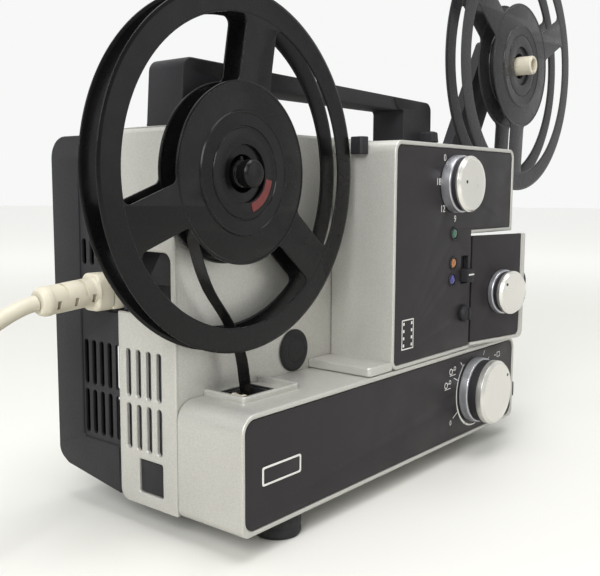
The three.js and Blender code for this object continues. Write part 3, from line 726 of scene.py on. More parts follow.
def mains_connector():
    """The appliance connector: a rounded head and a drooping sleeve with flex slots, an upper
    row of open rings and a lower row of windows."""
    root = at(-11, 96, 111.5)
    out = Vector((-math.cos(SLEEVE_DROOP), 0, -math.sin(SLEEVE_DROOP)))
    collar = plate([box_outline(88.6, 103.4, 101.3, 120.9, 4.6)], -11.7, -0.6, "X", 1.8, 4)
    nose = block(-2, 17.8, 89.2, 102.8, 101.8, 118.2, 0.8)
    sleeve = lathe([(0, -1), (8.4, -1), (7.7, 0.6), (7.4, 1.6), (7.3, 26), (7.6, 26.3), (7.5, 28.6),
                    (6.9, 30.2), (6.3, 31.2), (5.6, 31.8), (0, 31.8)], root, out, 0.3, 64)
    cutters = []
    for along in (7.3, 18.4):
        ring = lathe([(6.3, along - 0.8), (9.5, along - 0.8), (9.5, along + 0.8),
                      (6.3, along + 0.8)], root, out, 0.01, 64, closed=True)
        cutters.append(carved(ring, block(-14 - along, -8 - along, 84, 108, 98, 110.6, 0)))
    for x, z in ((-13.8, 108.9), (-24.3, 108), (-34.5, 107.3)):
        cutters.append(block(x - 1.2, x + 1.2, 84, 92.4, z - 2.1, z + 2.1, 0.3))
    sleeve = carved(sleeve, *cutters)
    finished("mains_connector", combined(collar, nose, sleeve), IVORY)


def mains_plug():
    middle = at(COIL_CENTRE[0], PLUG_ENTRY[1], PLUG_ENTRY[2])
    body = lathe([(0, -20), (4.6, -20), (4.9, -12), (5.3, -6), (6.2, 4), (8.4, 10), (9, 13),
                  (9, 35), (8.1, 38.6), (0, 40)], middle, (-1, 0, 0), 0.8, 64,
                 ribs=(10, 0.7, 12, 34))
    pins = [lathe([(0, 39), (2, 39), (2, 57), (1.3, 58.8), (0, 59)],
                  middle + Vector((0, side * MM, 0)), (-1, 0, 0), 0.4, 32) for side in (-5, 5)]
    finished("mains_plug", body, IVORY)
    add_piece("mains_plug_pins", combined(*pins), STEEL)


mains_connector()
mains_plug()


# ---------------------------------------------------------------- base
def base():
    walls = plate(
        [smooth([(0, 0, 5), (LENGTH, 0, 5), (LENGTH, BASE_TOP, 10), (0, BASE_TOP, 10)], 10),
         smooth([(2.4, 2.4, 6.5), (286.6, 2.4, 6.5), (286.6, 57, 6.5), (2.4, 57, 6.5)], 8)], 0,
        FRONT_WALL, "Y", 0.9, 3)
    slot = block(26, 50, 25, 41, 52, 66, 0.8, 3)
    walls = carved(walls, slot)
    front = plate([box_outline(1.6, 287.4, 1.6, 58, 6)], 1.9, 3.4, "Y", 0.1)
    rim = plate([smooth([(19, 16, 3), (62, 16, 3), (62, FRONT_WALL, 0), (59.8, FRONT_WALL, 0),
                         (59.8, 18.2, 1.4), (21.2, 18.2, 1.4), (21.2, FRONT_WALL, 0),
                         (19, FRONT_WALL, 0)])], 59, 62.7, "Z", 0.6, 3)
    finished("base_cover", combined(walls, front, rim), SILVER)
    panel = plate([box_outline(2.8, 286.2, 2.8, 56.6, 6.1, 8),
                   disc_outline(*FUNCTION_KNOB, SHAFT_HOLE)], 0.6, 1.6, "Y", 0.2)
    finished("base_panel", panel, PANEL)
    lip = plate([box_outline(24.9, 51.1, 23.9, 42.1, 1.6), box_outline(26.6, 49.4, 25.6, 40.4, 1)],
                59.3, 60.3, "Z", 0.3)
    tray = softened("film_slot_guide", 0.2)
    finished("film_slot_guide", combined(lip, tray), BLACK)
    plain = plate([box_outline(14.4, 43.6, 22.5, 32, 1.2), box_outline(15.4, 42.6, 23.5, 31, 0.8)],
                  0.2, 0.75, "Y", 0.1)
    add_piece("badge_border", plain, PRINT)
    add_piece("badge_field", plate([box_outline(15.2, 42.8, 23.3, 31.2, 0.9)], 0.45, 0.75, "Y",
                                   0.05), PANEL)
    soften_node("bottom_plate", 0.3, STEEL)
    bumper = block(289.3, 294.8, 1.5, 9, 13, 24, 1.6, 3)
    add_piece("bumper_finished", bumper, RUBBER, BODY, ["lens_end_bumper"])
    heads = screws([(14, 14, -0.2), (14, 78, -0.2), (275, 78, -0.2), (276, 14, -0.2),
                    (150, 78, -0.2)], DOWN)
    add_piece("base_screws", heads, STEEL)


def feet():
    for node, x, y in (("foot_vent_end_front", 41, 14), ("foot_vent_end_back", 41, 74),
                       ("foot_lens_end_back", 250, 74)):
        pad = lathe([(0, 12), (3, 12), (3.4, 11.4), (10.8, 11.4), (11.4, 12), (11.8, 11.4),
                     (12.5, 10.2), (12.3, 7.4), (11.9, 6.8), (12.5, 6.2), (12.5, 0.3), (0, 0.3)],
                    at(x, y, 0), DOWN, 0.35, 72)
        finished(node, pad, RUBBER)
    foot = lathe(
        [(0, 12), (10.6, 12), (11.4, 12), (12.5, 10.8), (12.5, 2), (12, 0.4), (4, 0.3), (4, -0.6),
         (3.6, -1.2), (4, -1.8), (3.6, -2.4), (4, -3), (3.6, -3.6), (4, -4.2), (4, -15.4),
         (3.4, -16), (0, -16)], at(263, 36, 0), DOWN, 0.2, 120, ribs=(40, 0.5, 2.2, 10.4))
    finished("levelling_foot", foot, RUBBER, "levelling_foot")


def film_path():
    roller = lathe([(0, -27.9), (1.4, -27.9), (1.8, -28.3), (3.2, -28), (4.2, -28.7), (4.2, -29.6),
                    (3.7, -30.2), (3.7, -34.6), (4.2, -35.2), (4.2, -36.2), (3.4, -36.9),
                    (0, -36.9)], at(32, 0, 55.6), FRONT, 0.25, 64)
    finished("film_roller", roller, IVORY, "film_roller")
    soften_node("film_leader", 0.12, REEL, segments=1)
    guide = softened("rewind_film_guide", 0.6, segments=3)
    finished("rewind_film_guide", guide, BLACK)
    cap = plate([smooth([(225.4, 196.2, 0.4), (234.2, 196.2, 0.4), (232.6, 203.2, 1.4),
                         (225.4, 203.2, 1.4)])], 35, 44, "Y", 0.7, 3)
    ridges = [block(226.8 + 1.7 * index, 227.7 + 1.7 * index, 36.4, 42.6, 202.8, 203.6, 0.2)
              for index in range(3)]
    stem = block(226.4, 232.1, 35.4, 41.6, 184, 196.9, 0.4)
    finished("threading_key", combined(cap, stem, *ridges), BLACK, "threading_key")


base()
feet()
film_path()


# ---------------------------------------------------------------- chassis
def upright_slot(y, half, low, high):
    return box_outline(y - half, y + half, low, high, half * 0.98, 6)


def corner_tool(x, side, radius=4):
    """What is taken off to round a top corner, seen from the operator's side."""
    curve = arc(radius, 90 + 90 * side, 90, 10, x + side * radius, CHASSIS_TOP - radius)
    outline = [(x - side, CHASSIS_TOP + 1), (x - side, CHASSIS_TOP - radius)] + curve
    return plate([outline + [(x + side * radius, CHASSIS_TOP + 1)]], 43, 90, "Y", 0.01)


def chassis():
    slots = []
    for column in range(4):
        y = 57.5 + 7.85 * column
        slots.append(upright_slot(y, 1.9, 29, 53.2))
        slots.append(upright_slot(y, 1.9, 56.8, 82))
    rounding = [corner_tool(0, 1), corner_tool(LENGTH, -1)]
    end = plate(
        [smooth([(44.7, 0, 0.8), (88.7, 0, 6), (88.7, 101, 0.6), (47.8, 101, 5), (47.8, 133, 5),
                 (88.7, 133, 0.6), (88.7, CHASSIS_TOP, 9), (44.7, CHASSIS_TOP, 2)], 8),
         box_outline(55.3, 73.6, 7, 24.8, 1.2)] + slots, 0, 2.6, "X", 0.8, 3)
    far_end = plate([smooth([(44.7, 0, 0.8), (88.7, 0, 6), (88.7, CHASSIS_TOP, 9),
                             (44.7, CHASSIS_TOP, 2)], 8)], 286.4, LENGTH, "X", 0.8, 3)
    walls = plate([smooth([(44.72, 0.6, 0), (44.72, 194.88, 2), (88.68, 194.88, 9),
                           (88.68, 183, 0.5), (86.2, 183, 0.5), (86.2, 192.4, 6.5),
                           (47.2, 192.4, 0.5), (47.2, 0.6, 0)], 8)], 1.2, 287.8, "X", 0.15)
    arm_slot = block(255, 292, 52.2, 61.8, 118, 200, 0.6)
    walls = carved(walls, arm_slot, *rounding)
    far_end = carved(far_end, arm_slot, rounding[1])
    end = carved(end, rounding[0])
    inner = plate([box_outline(50, 85.4, 26, 90, 1)], 3.4, 4.2, "X", 0.2)
    finished("chassis_shell", combined(end, far_end, walls), SILVER)
    add_piece("vent_baffle", inner, STEEL)
    window = plate([box_outline(55.8, 73.1, 7.5, 24.3, 1)], 1.3, 2.7, "X", 0.2)
    finished("selector_window", window, WINDOW)
    plug = lathe([(0, -41.9), (6.4, -42.2), (7.4, -42.7), (8, -42.4), (10.8, -42.7), (12.2, -43.7),
                  (12.2, -44.4), (8.6, -44.4), (8.6, -48), (0, -48)], at(90.5, 0, 72.3), FRONT, 0.3,
                 96)
    finished("access_plug", plug, RUBBER)
    soften_node("mains_inlet", 0.5, BLACK)


def handle():
    """A grip on two legs; its front leans inwards between two slanting shoulders."""
    grip = plate([smooth([(8, 195.3, 0.3), (43, 195.3, 0.3), (43, 216.8, 2.4), (209.5, 216.8, 2.4),
                          (209.5, 195.3, 0.3), (244.8, 195.3, 0.3), (244.3, 224, 6),
                          (10.3, 228.2, 6)], 8)], 47.4, 73, "Y", 1.1, 4)
    lean = plate([smooth([(47, 212, 0), (204.6, 212, 0), (204.6, 216.8, 0), (195, 226.5, 0),
                          (56, 228.5, 0), (47, 218, 0)])], 40, 47.4, "Y", 0.01)
    hinge = Matrix.Translation(at(0, 47.4, 226.6))
    lean.transform(hinge @ Matrix.Rotation(math.radians(12), 4, "X") @ hinge.inverted())
    finished("handle", carved(grip, lean), BLACK)


def rear_cover():
    profile = [(89, 2, 0.8), (135.7, 9.1, 5), (143.7, 14, 8), (143.7, 192.1, 12),
               (89, 192.1, 0.8)]
    rim = plate([smooth(profile + [(89, 180, 0.4), (120.3, 180, 2.4), (120.3, 28, 2.4),
                                   (89, 28, 0.4)], 8)], 0, 2.4, "X", 0.9, 3)
    slots = []
    for column in range(5):
        y = 117.2 - 6.6 * column
        slots.append(upright_slot(y, 1.8, 30.8, 55.2))
        slots.append(upright_slot(y, 1.8, 58, 82.7))
        if column < 3:
            slots.append(upright_slot(y, 1.8, 123.5, 137.5))
    zone = plate([smooth([(89.2, 26.5, 0), (121.2, 26.5, 0), (121.2, 181.5, 0), (89.2, 181.5, 0),
                          (89.2, 120.5, 0.6), (106, 120.5, 2.5), (106, 99.5, 2.5),
                          (89.2, 99.5, 0.6)])] + slots, 1.0, 2.7, "X", 0.25)
    shell = plate(
        [smooth([(89.02, 2.3, 0), (135.7, 9.3, 5), (143.68, 14, 8), (143.68, 192.08, 12),
                 (89.02, 192.08, 0.3), (89.02, 189.6, 0.3), (141.2, 189.6, 9.5), (141.2, 16, 6),
                 (134.5, 11.6, 4), (89.02, 4.6, 0)], 8)], 1.4, 287.6, "X", 0.15)
    vents = [block(40 + 11 * index, 45 + 11 * index, 136, 148, 36, 96, 2.2, 3)
             for index in range(10)]
    shell = carved(shell, *vents)
    far = plate([smooth(profile, 8)], 286.4, LENGTH, "X", 0.9, 3)
    cover = combined(rim, zone, shell, far)
    finished("rear_cover", cover, BLACK)
    heads = screws([(16, 143.6, 30), (273, 143.6, 30), (16, 143.6, 178), (273, 143.6, 178)], BACK,
                   3)
    add_piece("cover_screws", heads, STEEL)


chassis()
handle()
rear_cover()


# ---------------------------------------------------------------- control housing
INDICATORS = (("green_indicator_lens", 196.3, 136.9, GREEN),
              ("orange_indicator_lens", 196, 118.2, ORANGE),
              ("blue_indicator_lens", 195.1, 107.8, BLUE))


def housing():
    lip = plate([smooth([(219.3, 60, 0.8), (126, 60, 6), (126, 192.2, 7), (278.5, 192.2, 6),
                         (278.5, 136, 1), (219.3, 136, 0.6), (219.3, 138.4, 0), (276.1, 138.4, 0.6),
                         (276.1, 189.8, 3.6), (128.4, 189.8, 4.6), (128.4, 62.4, 3.6),
                         (219.3, 62.4, 0)], 8)], 0, FRONT_WALL, "Y", 0.8, 3)
    notch = block(216.9, 219.3, 1.7, 44.2, 60.3, 137.6, 0.2)
    entry = block(246, 282, 23.4, 41.4, 160, 200, 0.6)
    key_hole = block(225.6, 232.9, 34.6, 42.4, 186, 200, 0.6)
    lens_hole = block(212, 222, 27, 38, 90, 104, 0.6)
    lip = carved(lip, entry, key_hole)
    notch = carved(notch, lens_hole)
    holes = [box_outline(206.2, 215.8, 104, 122, 1)]
    holes += [disc_outline(x, z, 3.6, 32) for _, x, z, _ in INDICATORS]
    holes += [disc_outline(*FRAMING_KNOB, 2.7, 24), disc_outline(*SPEED_KNOB, SHAFT_HOLE, 32)]
    face = smooth([(218.4, 61.4, 0), (127.2, 61.4, 5), (127.2, 191, 6), (277.4, 191, 5),
                   (277.4, 137.4, 0), (218.4, 137.4, 0)])
    front = plate([face] + holes, 1.8, 3.3, "Y", 0.1)
    wedge = plate([smooth([(127, 18.8, 1.5), (127, FRONT_WALL, 0), (105, FRONT_WALL, 0.6)])], 60,
                  184, "Z", 0.7, 3)
    reel_room = lathe([(0, -24.2), (90.6, -24.2), (90.6, -46), (0, -46)], on_axis(TAKE_UP), FRONT,
                      0.01, 128)
    wedge = carved(wedge, reel_room)
    plinth = plate([smooth([(104.6, 0.6, 2.5), (127, 0.6, 0), (127, FRONT_WALL, 0),
                            (104.6, FRONT_WALL, 0)])], 60, 65.2, "Z", 0.9, 3)
    finished("control_housing", combined(lip, notch, wedge, plinth), SILVER)
    add_piece("control_panel_backing", front, BLACK)
    outline = smooth([(219, 62.7, 0), (128.7, 62.7, 3.3), (128.7, 189.5, 4.3), (275.8, 189.5, 3.3),
                      (275.8, 138.7, 0), (219, 138.7, 0)], 8)
    panel = plate([outline] + holes, 0.6, 1.6, "Y", 0.15)
    finished("control_panel", panel, PANEL)
    for node, x, z, material in INDICATORS:
        lens = lathe([(0, 0.7), (1.4, 0.55), (2.6, 0.1), (3.3, -0.6), (3.3, -6), (0, -6)],
                     at(x, 0, z), FRONT, 0.3, 48)
        finished(node, lens, material)
        bezel = lathe([(3.5, -0.8), (3.5, 0.1), (4.3, 0.1), (4.5, -0.8)], at(x, 0, z), FRONT, 0.15,
                      48, closed=True)
        add_piece(f"{node}_bezel", bezel, BLACK)
    button = plate([box_outline(206.9, 215.1, 105, 113.6, 1)], -4.6, 3, "Y", 0.7, 3)
    neck = block(208, 214, 2.8, 4, 106, 112.6, 0.1)
    cover = block(205.4, 216.4, 3.6, 5, 95.4, 123.2, 0.3)
    ridges = [block(207.4, 214.6, -5.1, -4.2, 106.1 + 1.9 * index, 106.9 + 1.9 * index, 0.2)
              for index in range(4) if index != 2]
    slider = combined(button, neck, cover, *ridges)
    finished("format_slider", slider, BLACK, "format_slider")
    add_piece("format_slider_line", block(207.6, 214.4, -4.9, -4.4, 109.6, 110.6, 0.1), PRINT,
              "format_slider")
    dome = lathe([(0, 4.3), (2.6, 4.1), (4.4, 3.2), (5.4, 1.6), (5.5, -0.3), (2.3, -0.3),
                  (2.3, -10), (0, -10)], on_axis(FRAMING_KNOB), FRONT, 0.35, 96)
    framing = combined(dome, block(209.5, 211.1, -5, -2.6, 80.6, 88.6, 0.5, 3))
    finished("framing_knob", framing, BLACK, "framing_knob")


housing()


# ---------------------------------------------------------------- knobs
def knob(name, centre, axis, radius, height, skirt_share, cap_share, dot):
    """A plain chrome skirt, a black ring and a spun cap with a bevelled rim."""
    first = skirt_share * height
    second = cap_share * height
    skirt = lathe([(0, -14), (4, -14), (4, -0.4), (radius - 1, -0.3), (radius + 0.3, -0.2),
                   (radius + 0.6, 0.3), (radius + 0.4, first - 0.5), (radius - 0.3, first),
                   (0, first)], centre, axis, 0.35, 144)
    finished(f"{name}_skirt", skirt, CHROME, name)
    grip = lathe([(0, first - 0.3), (radius - 0.9, first - 0.3), (radius - 0.6, first + 0.5),
                  (radius - 0.6, second - 0.4), (radius - 1.4, second + 0.2), (0, second + 0.2)],
                 centre, axis, 0.3, 144)
    add_piece(f"{name}_grip", grip, BLACK, name)
    cap = lathe([(0, second), (radius - 0.5, second), (radius, second + 0.4),
                 (radius, height - 1.9), (radius - 0.4, height - 1.6), (radius - 1.5, height),
                 (radius - 2.1, height), (radius - 2.5, height - 0.3), (0, height - 0.3)], centre,
                axis, 0.2, 144)
    finished(f"{name}_cap", cap, spun_aluminium(centre, f"spun {name}"), name)
    spot = lathe([(0, height - 0.15), (1, height - 0.15), (1.1, height - 0.6), (0, height - 0.6)],
                 centre + dot, axis, 0.08, 24)
    add_piece(f"{name}_dot", spot, BLACK, name)


def door_matrix():
    hinge = at(DOOR_HINGE_X, 0, 0)
    turn = Matrix.Rotation(math.radians(-DOOR_AJAR_DEG), 4, "Z")
    return Matrix.Translation(hinge) @ turn @ Matrix.Translation(-hinge)


DOOR = door_matrix()


def on_door(mesh):
    mesh.transform(DOOR)
    return mesh


knob("function_knob", on_axis(FUNCTION_KNOB, 0.3), FRONT, 21.2, 17.3, 0.34, 0.66,
     Vector((14.3, 0, 9.7)) * MM)
knob("speed_knob", on_axis(SPEED_KNOB, 0.3), FRONT, 17.3, 12.9, 0.5, 0.73,
     Vector((-7.8, 0, 1.3)) * MM)
DOOR_OUT = (DOOR.to_3x3() @ Vector(FRONT)).normalized()
knob("focus_knob", DOOR @ on_axis(FOCUS_KNOB, 0.3), DOOR_OUT, 14.6, 10.9, 0.34, 0.6,
     DOOR.to_3x3() @ (Vector((-8, 0, 6)) * MM))


# ---------------------------------------------------------------- lens carrier
def lens_carrier():
    border = plate([smooth([(220.7, 61.2, 0.4), (279, 61.2, 5), (279, 134.6, 1.2),
                            (274.4, 134.6, 0.4), (274.4, 63.8, 3.2), (220.7, 63.8, 0)], 8)], 0, 4.6,
                   "Y", 0.7, 3)
    backing = plate([smooth([(220.8, 61.8, 0), (277, 61.8, 4), (277, 134.3, 0.6),
                             (220.8, 134.3, 0)])], 1.8, 4.5, "Y", 0.3)
    bracket = block(228, 246, 4, 44, 82, 112, 1)
    bore = lathe([(0, 210), (11.7, 210), (11.7, 262), (0, 262)], at(0, *LENS_AXIS), LENSWARD, 0.01,
                 64)
    bracket = carved(bracket, bore)
    ribs = [block(246, 272, 4.2, 7, 66 + 16 * index, 67.6 + 16 * index, 0.4) for index in range(5)]
    add_piece("lens_carrier_border", on_door(border), SILVER, "lens_carrier",
              ["lens_carrier_frame"])
    add_piece("lens_carrier_back", on_door(combined(backing, bracket, *ribs)), BLACK,
              "lens_carrier")
    panel = plate(
        [smooth([(221, 64.1, 0), (274.1, 64.1, 3), (274.1, 134.3, 0.3), (221, 134.3, 0.3)], 8),
         disc_outline(*FOCUS_KNOB, SHAFT_HOLE, 32)], 0.6, 1.6, "Y", 0.15)
    finished("lens_carrier_panel", on_door(panel), PANEL, "lens_carrier")
    middle = at(0, *LENS_AXIS)
    barrel = lathe([(8, 224), (8.4, 223.9), (11.3, 224), (11.3, 262), (10.9, 263), (11.3, 264),
                    (11.3, 286), (10.8, 287), (11.3, 288), (11.3, 312), (10.6, 312.3), (9.6, 312),
                    (9.3, 308), (9.6, 300), (8, 300)], middle, LENSWARD, 0.3, 96, closed=True)
    finished("lens_barrel", on_door(barrel), BLACK, "projection_lens")
    glass = lathe([(0, 302), (9.2, 302), (9.2, 305.8), (8, 306.4), (6, 307.2), (3, 307.8),
                   (0, 308)], middle, LENSWARD, 0.3, 64)
    finished("lens_front_glass", on_door(glass), GLASS, "projection_lens")
    ring = lathe([(11.7, 294), (13.6, 294), (14.4, 294.8), (14.4, 305.2), (13.6, 306), (11.7, 306)],
                 middle, LENSWARD, 0.3, 216, ribs=(36, 0.6, 295.2, 304.8), closed=True)
    finished("zoom_ring", on_door(ring), RUBBER, "zoom_ring")


lens_carrier()


# ---------------------------------------------------------------- reels
def flange_windows(radius, disc_radius, first_deg, half=11.0):
    inner = radius * 0.861
    outer_trim = math.degrees(math.asin(half / inner))
    inner_trim = math.degrees(math.asin(half / disc_radius))
    windows = []
    for index in range(3):
        start = first_deg + 120 * index
        end = start + 120
        far = [(x, y, 0) for x, y in arc(inner, start + outer_trim, end - outer_trim, 18)]
        near = [(x, y, 0) for x, y in arc(disc_radius, end - inner_trim, start + inner_trim, 10)]
        far[0] = far[0][:2] + (3.5,)
        far[-1] = far[-1][:2] + (3.5,)
        near[0] = near[0][:2] + (3.5,)
        near[-1] = near[-1][:2] + (3.5,)
        windows.append(smooth(far + near, 5))
    return windows


def flange(node, x, z, radius, disc_radius, first_deg, near_y, bore, body, material):
    """A moulded flange: rim ring, three spokes and a stepped middle, 1.6 mm thick."""
    def moved(shape):
        return [(px + x, pz + z) for px, pz in shape]
    shapes = [disc_outline(0, 0, radius - 1, 144)] + flange_windows(radius, disc_radius, first_deg)
    shapes.append(disc_outline(0, 0, bore, 48))
    web = plate([moved(shape) for shape in shapes], near_y + 0.25, near_y + 1.35, "Y", 0.3)
    centre = at(x, 0, z)
    inner = radius * 0.861
    rim = lathe([(inner - 0.2, near_y + 0.35), (inner + 0.6, near_y), (radius - 1.6, near_y),
                 (radius, near_y + 0.5), (radius, near_y + 1.2), (radius - 1.2, near_y + 1.6),
                 (inner + 0.6, near_y + 1.6), (inner - 0.2, near_y + 1.25)], centre, BACK, 0.25,
                192, closed=True)
    edge = lathe([(disc_radius - 1.6, near_y + 0.3), (disc_radius - 0.8, near_y - 0.1),
                  (disc_radius, near_y + 0.3), (disc_radius, near_y + 1.3),
                  (disc_radius - 1.6, near_y + 1.3)], centre, BACK, 0.2, 128, closed=True)
    steps = lathe(
        [(bore, near_y - 0.1), (22.1, near_y - 0.25), (22.4, near_y + 0.35), (23, near_y + 0.35),
         (23.3, near_y - 0.15), (29.2, near_y - 0.1), (29.6, near_y - 0.6), (30.4, near_y - 0.6),
         (30.9, near_y + 0.3), (30.9, near_y + 1.4), (bore, near_y + 1.4)], centre, BACK, 0.12, 128,
        closed=True)
    finished(node, combined(web, rim, edge, steps), material, body)


def reel(prefix, x, z, radius, disc_radius, first_deg, body, material):
    for node, near_y, bore in (("near_flange", 25.6, 14.4), ("far_flange", 37.6, 9)):
        flange(f"{prefix}_{node}", x, z, radius, disc_radius, first_deg, near_y, bore, body,
               material)
    hub = lathe([(9.4, 27.5), (28.6, 27.5), (30, 27.9), (30, 36.9), (28.6, 37.3), (9.4, 37.3)],
                at(x, 0, z), BACK, 0.3, 96, closed=True)
    slit = block(x - 0.8, x + 0.8, 20, 45, z + 24, z + 33, 0)
    finished(f"{prefix}_hub", carved(hub, slit), material, body)


def spindles():
    x, z = TAKE_UP
    pin = lathe([(0, 18.3), (3, 18.4), (5.8, 18.7), (7, 20), (7, 24.2), (5.9, 24.8), (5.9, 26.8),
                 (6.9, 27.2), (6.9, 39.6), (9.3, 39.8), (9.5, 44), (4.9, 44.2), (4.9, 56), (20, 56),
                 (20, 62), (4, 62), (4, 80), (0, 80)], at(x, 0, z), BACK, 0.3, 96)
    keys = [plate([[(px + x, pz + z) for px, pz in box_outline(-1, 1, 6.2, 8.6, 0.4)]], 28, 36,
                  "Y", 0.3)]
    finished("take_up_spindle", combined(pin, *keys), REEL, "take_up_reel")
    mark = [(px + x, pz + z) for px, pz in arc(19.5, -75, -10, 16) + arc(15, -10, -75, 14)]
    add_piece("take_up_mark", plate([mark], 25.2, 25.5, "Y", 0.05), RED, "take_up_reel")
    x, z = SUPPLY
    tube_end = lathe(
        [(4.6, 16), (5.4, 15.6), (6.5, 16), (6.9, 16.8), (6.9, 39.6), (9.5, 39.8), (9.5, 52.4),
         (4, 52.4), (4, 65), (0, 65), (0, 24), (4.6, 24), (4.6, 16)], at(x, 0, z), BACK, 0.25, 96)
    finished("supply_spindle", tube_end, IVORY, "supply_reel")


reel("take_up", *TAKE_UP, 89, 45, 80, "take_up_reel", REEL)
reel("supply", *SUPPLY, 94.6, 46, 266, "supply_reel", GREY_REEL)
spindles()


def supply_side():
    soften_node("supply_arm", 1.1, BLACK, "supply_arm", segments=3)
    soften_node("arm_pivot", 0.5, STEEL)


supply_side()


# ---------------------------------------------------------------- works inside
def works():
    soften_node("lamp_house", 0.3, STEEL)
    lamp = lathe(
        [(0, 148), (6.6, 148), (7, 149), (7, 158), (11, 161), (15, 166), (18, 172), (20, 178),
         (22, 188), (20.8, 188), (18.8, 178), (16.4, 172), (13.8, 167.4), (9, 163), (5, 160),
         (4.2, 170), (3, 176), (0, 178)], at(0, *LENS_AXIS), LENSWARD, 0.3, 72)
    finished("reflector_lamp", lamp, GLASS)
    soften_node("film_gate", 0.2, STEEL)
    soften_node("shutter", 0.12, STEEL, "shutter", segments=1)
    stator = lathe([(3.5, 112), (24, 112), (26, 113), (26, 116), (27, 117), (27, 179), (26, 180),
                    (26, 183), (24, 184), (3.5, 184)], at(0, 95, 56), LENSWARD, 0.4, 96,
                   closed=True, ribs=(12, 0.8, 120, 176))
    finished("motor_stator", stator, COPPER)
    soften_node("motor_shaft", 0.25, STEEL, "motor_rotor")
    soften_node("cooling_fan", 0.2, BLACK, "motor_rotor", segments=1)
    soften_node("shutter_belt", 0.3, RUBBER)
    soften_node("transformer", 1.2, STEEL)


works()


# ---------------------------------------------------------------- printed marks
def arc_band(x, z, radius, from_deg, to_deg, wide0, wide1, steps=24):
    outer = []
    inner = []
    for step in range(steps + 1):
        share = step / steps
        angle = math.radians(from_deg + (to_deg - from_deg) * share)
        half = (wide0 + (wide1 - wide0) * share) / 2
        outer.append((x + (radius + half) * math.cos(angle), z + (radius + half) * math.sin(angle)))
        inner.append((x + (radius - half) * math.cos(angle), z + (radius - half) * math.sin(angle)))
    return outer + inner[::-1]


def frame_mark(x, z, wide, high, line):
    return [box_outline(x - wide / 2, x + wide / 2, z - high / 2, z + high / 2, 0.5, 3),
            box_outline(x - wide / 2 + line, x + wide / 2 - line, z - high / 2 + line,
                        z + high / 2 - line, 0.3, 3)]


def bar(x0, z0, x1, z1, wide):
    along = Vector((x1 - x0, z1 - z0)).normalized() * wide / 2
    side = Vector((-along.y, along.x))
    return [(x0 + side.x, z0 + side.y), (x0 - side.x, z0 - side.y), (x1 - side.x, z1 - side.y),
            (x1 + side.x, z1 + side.y)]


def tick(angle_deg, near, far):
    """A line outwards from the function knob."""
    x, z = FUNCTION_KNOB
    turn = math.radians(angle_deg)
    return bar(x + near * math.cos(turn), z + near * math.sin(turn), x + far * math.cos(turn),
               z + far * math.sin(turn), 0.5)


def printed_marks():
    figures = (("0", 182.4, 183.6, 4.2), ("18", 175.4, 169, 4.2), ("12", 181.1, 152.5, 4.2),
               ("9", 196.9, 146, 4.2), ("0", 198, 13.5, 3.4))
    marks = [lettering(*figure) for figure in figures]
    shapes = []
    x, z = 143.2, 79.5
    shapes.append(frame_mark(x, z, 13, 18, 0.7))
    for row in range(4):
        for middle in (x - 4.4, x + 4.4):
            hole = z - 6.4 + 4.3 * row
            shapes.append([box_outline(middle - 0.8, middle + 0.8, hole - 0.9, hole + 0.9, 0.3, 2)])
    shapes.append([arc_band(*FUNCTION_KNOB, 24.4, 128, 241, 0.5, 1.6)])
    shapes.append([arc_band(*FUNCTION_KNOB, 24.4, 243, 278, 1.3, 0.6)])
    shapes += [[tick(angle, 25.2, far)] for angle, far in ((133, 29), (157, 31), (207, 32))]
    for x, z in ((197, 47.7), (191, 39.6)):
        shapes.append([disc_outline(x, z, 2.1, 24), disc_outline(x, z, 1.5, 24)])
        shapes.append([disc_outline(x + 5, z + 1.4, 1.4, 20),
                       disc_outline(x + 5, z + 1.4, 0.9, 20)])
        shapes.append([bar(x - 1.6, z - 2.6, x + 6, z - 2.6, 0.5)])
        shapes.append([bar(x + 2, z + 0.4, x + 3.6, z + 0.9, 0.5)])
    shapes.append(frame_mark(264.7, 49.2, 4.6, 3.6, 0.5))
    shapes.append([bar(258.5, 49.2, 261.2, 49.2, 0.6)])
    shapes += [[tick(angle, 24.6, 28)] for angle in (25, 42, 60)]
    marks += [plate(shape, 0.56, 0.64, "Y", 0.02, 1) for shape in shapes]
    add_piece("panel_marks", combined(*marks), PRINT)


printed_marks()


# ---------------------------------------------------------------- stage
def make_stage():
    mesh = bpy.data.meshes.new("table_top")
    bm = bmesh.new()
    bmesh.ops.create_circle(bm, cap_ends=True, segments=64, radius=8)
    bm.to_mesh(mesh)
    bm.free()
    floor = linked("table_top", mesh)
    matt = Material("pale table", None, rgb(219, 218, 213), 0.6)
    matt.tint(matt.noise(400, 2), 0.98, 1.0)
    # painted light: the table top glows more away from the machine
    matt.painted_glow_far(0.3, 1.8, 0.38)
    mesh.materials.append(matt.data)


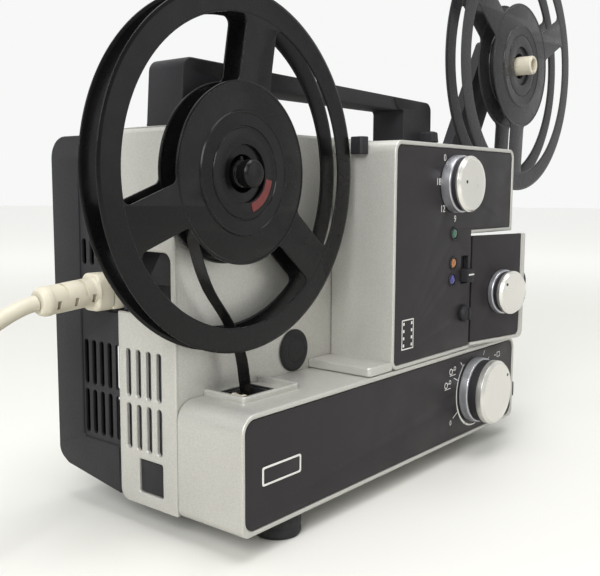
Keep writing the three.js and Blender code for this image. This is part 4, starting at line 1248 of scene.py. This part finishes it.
def area_light(name, place, target, size, power, colour=(1, 1, 1)):
    data = bpy.data.lights.new(name, "AREA")
    data.shape = "RECTANGLE"
    data.size, data.size_y = size
    data.energy = power
    data.color = colour
    light = linked(name, data)
    light.location = place
    light.rotation_euler = (Vector(target) - Vector(place)).to_track_quat("-Z", "Y").to_euler()


def make_world():
    """A studio that is bright behind the machine and dimmer on the operator's side."""
    world = bpy.data.worlds.new("studio")
    bpy.context.scene.world = world
    world.use_nodes = True
    nodes = world.node_tree.nodes
    links = world.node_tree.links
    facing = nodes.new("ShaderNodeVectorMath")
    facing.operation = "DOT_PRODUCT"
    facing.inputs[1].default_value = (0.62, 0.78, 0.1)
    spread = nodes.new("ShaderNodeMapRange")
    spread.interpolation_type = "SMOOTHSTEP"
    fill(spread, {"From Min": -0.25, "From Max": 0.6, "To Min": 0.34, "To Max": 0.96})
    links.new(nodes.new("ShaderNodeTexCoord").outputs["Generated"], facing.inputs[0])
    links.new(facing.outputs["Value"], spread.inputs["Value"])
    links.new(spread.outputs["Result"], nodes["Background"].inputs["Strength"])
    nodes["Background"].inputs["Color"].default_value = (0.97, 0.98, 0.97, 1)


def make_lights():
    make_world()
    middle = (-0.03, 0, 0.12)
    area_light("key", (-1.15, -0.5, 0.8), middle, (0.7, 0.7), 15)
    area_light("top", (-0.1, -0.15, 1.5), middle, (1.0, 1.0), 15)
    area_light("fill", (0.7, -1.4, 0.5), middle, (1.0, 0.7), 2.5)
    bpy.context.scene.view_settings.view_transform = "Standard"


make_stage()
make_lights()


def finish_cad_nodes():
    """Every CAD node gets the material of its slot."""
    by_slot = {material.slot: material for material in (SILVER, PANEL, BLACK, REEL, CHROME, STEEL,
                                                        RUBBER, IVORY, COPPER, GLASS, GREEN, ORANGE,
                                                        BLUE)}
    for part in frame["record"]["subparts"]:
        name = part["node"]
        material = by_slot.get(part["material_slot"])
        if material is None:
            material = spun_aluminium(centre_of(name), f"spun {name}")
        for slot in frame["nodes"][name].material_slots:
            slot.material = material.data


finish_cad_nodes()
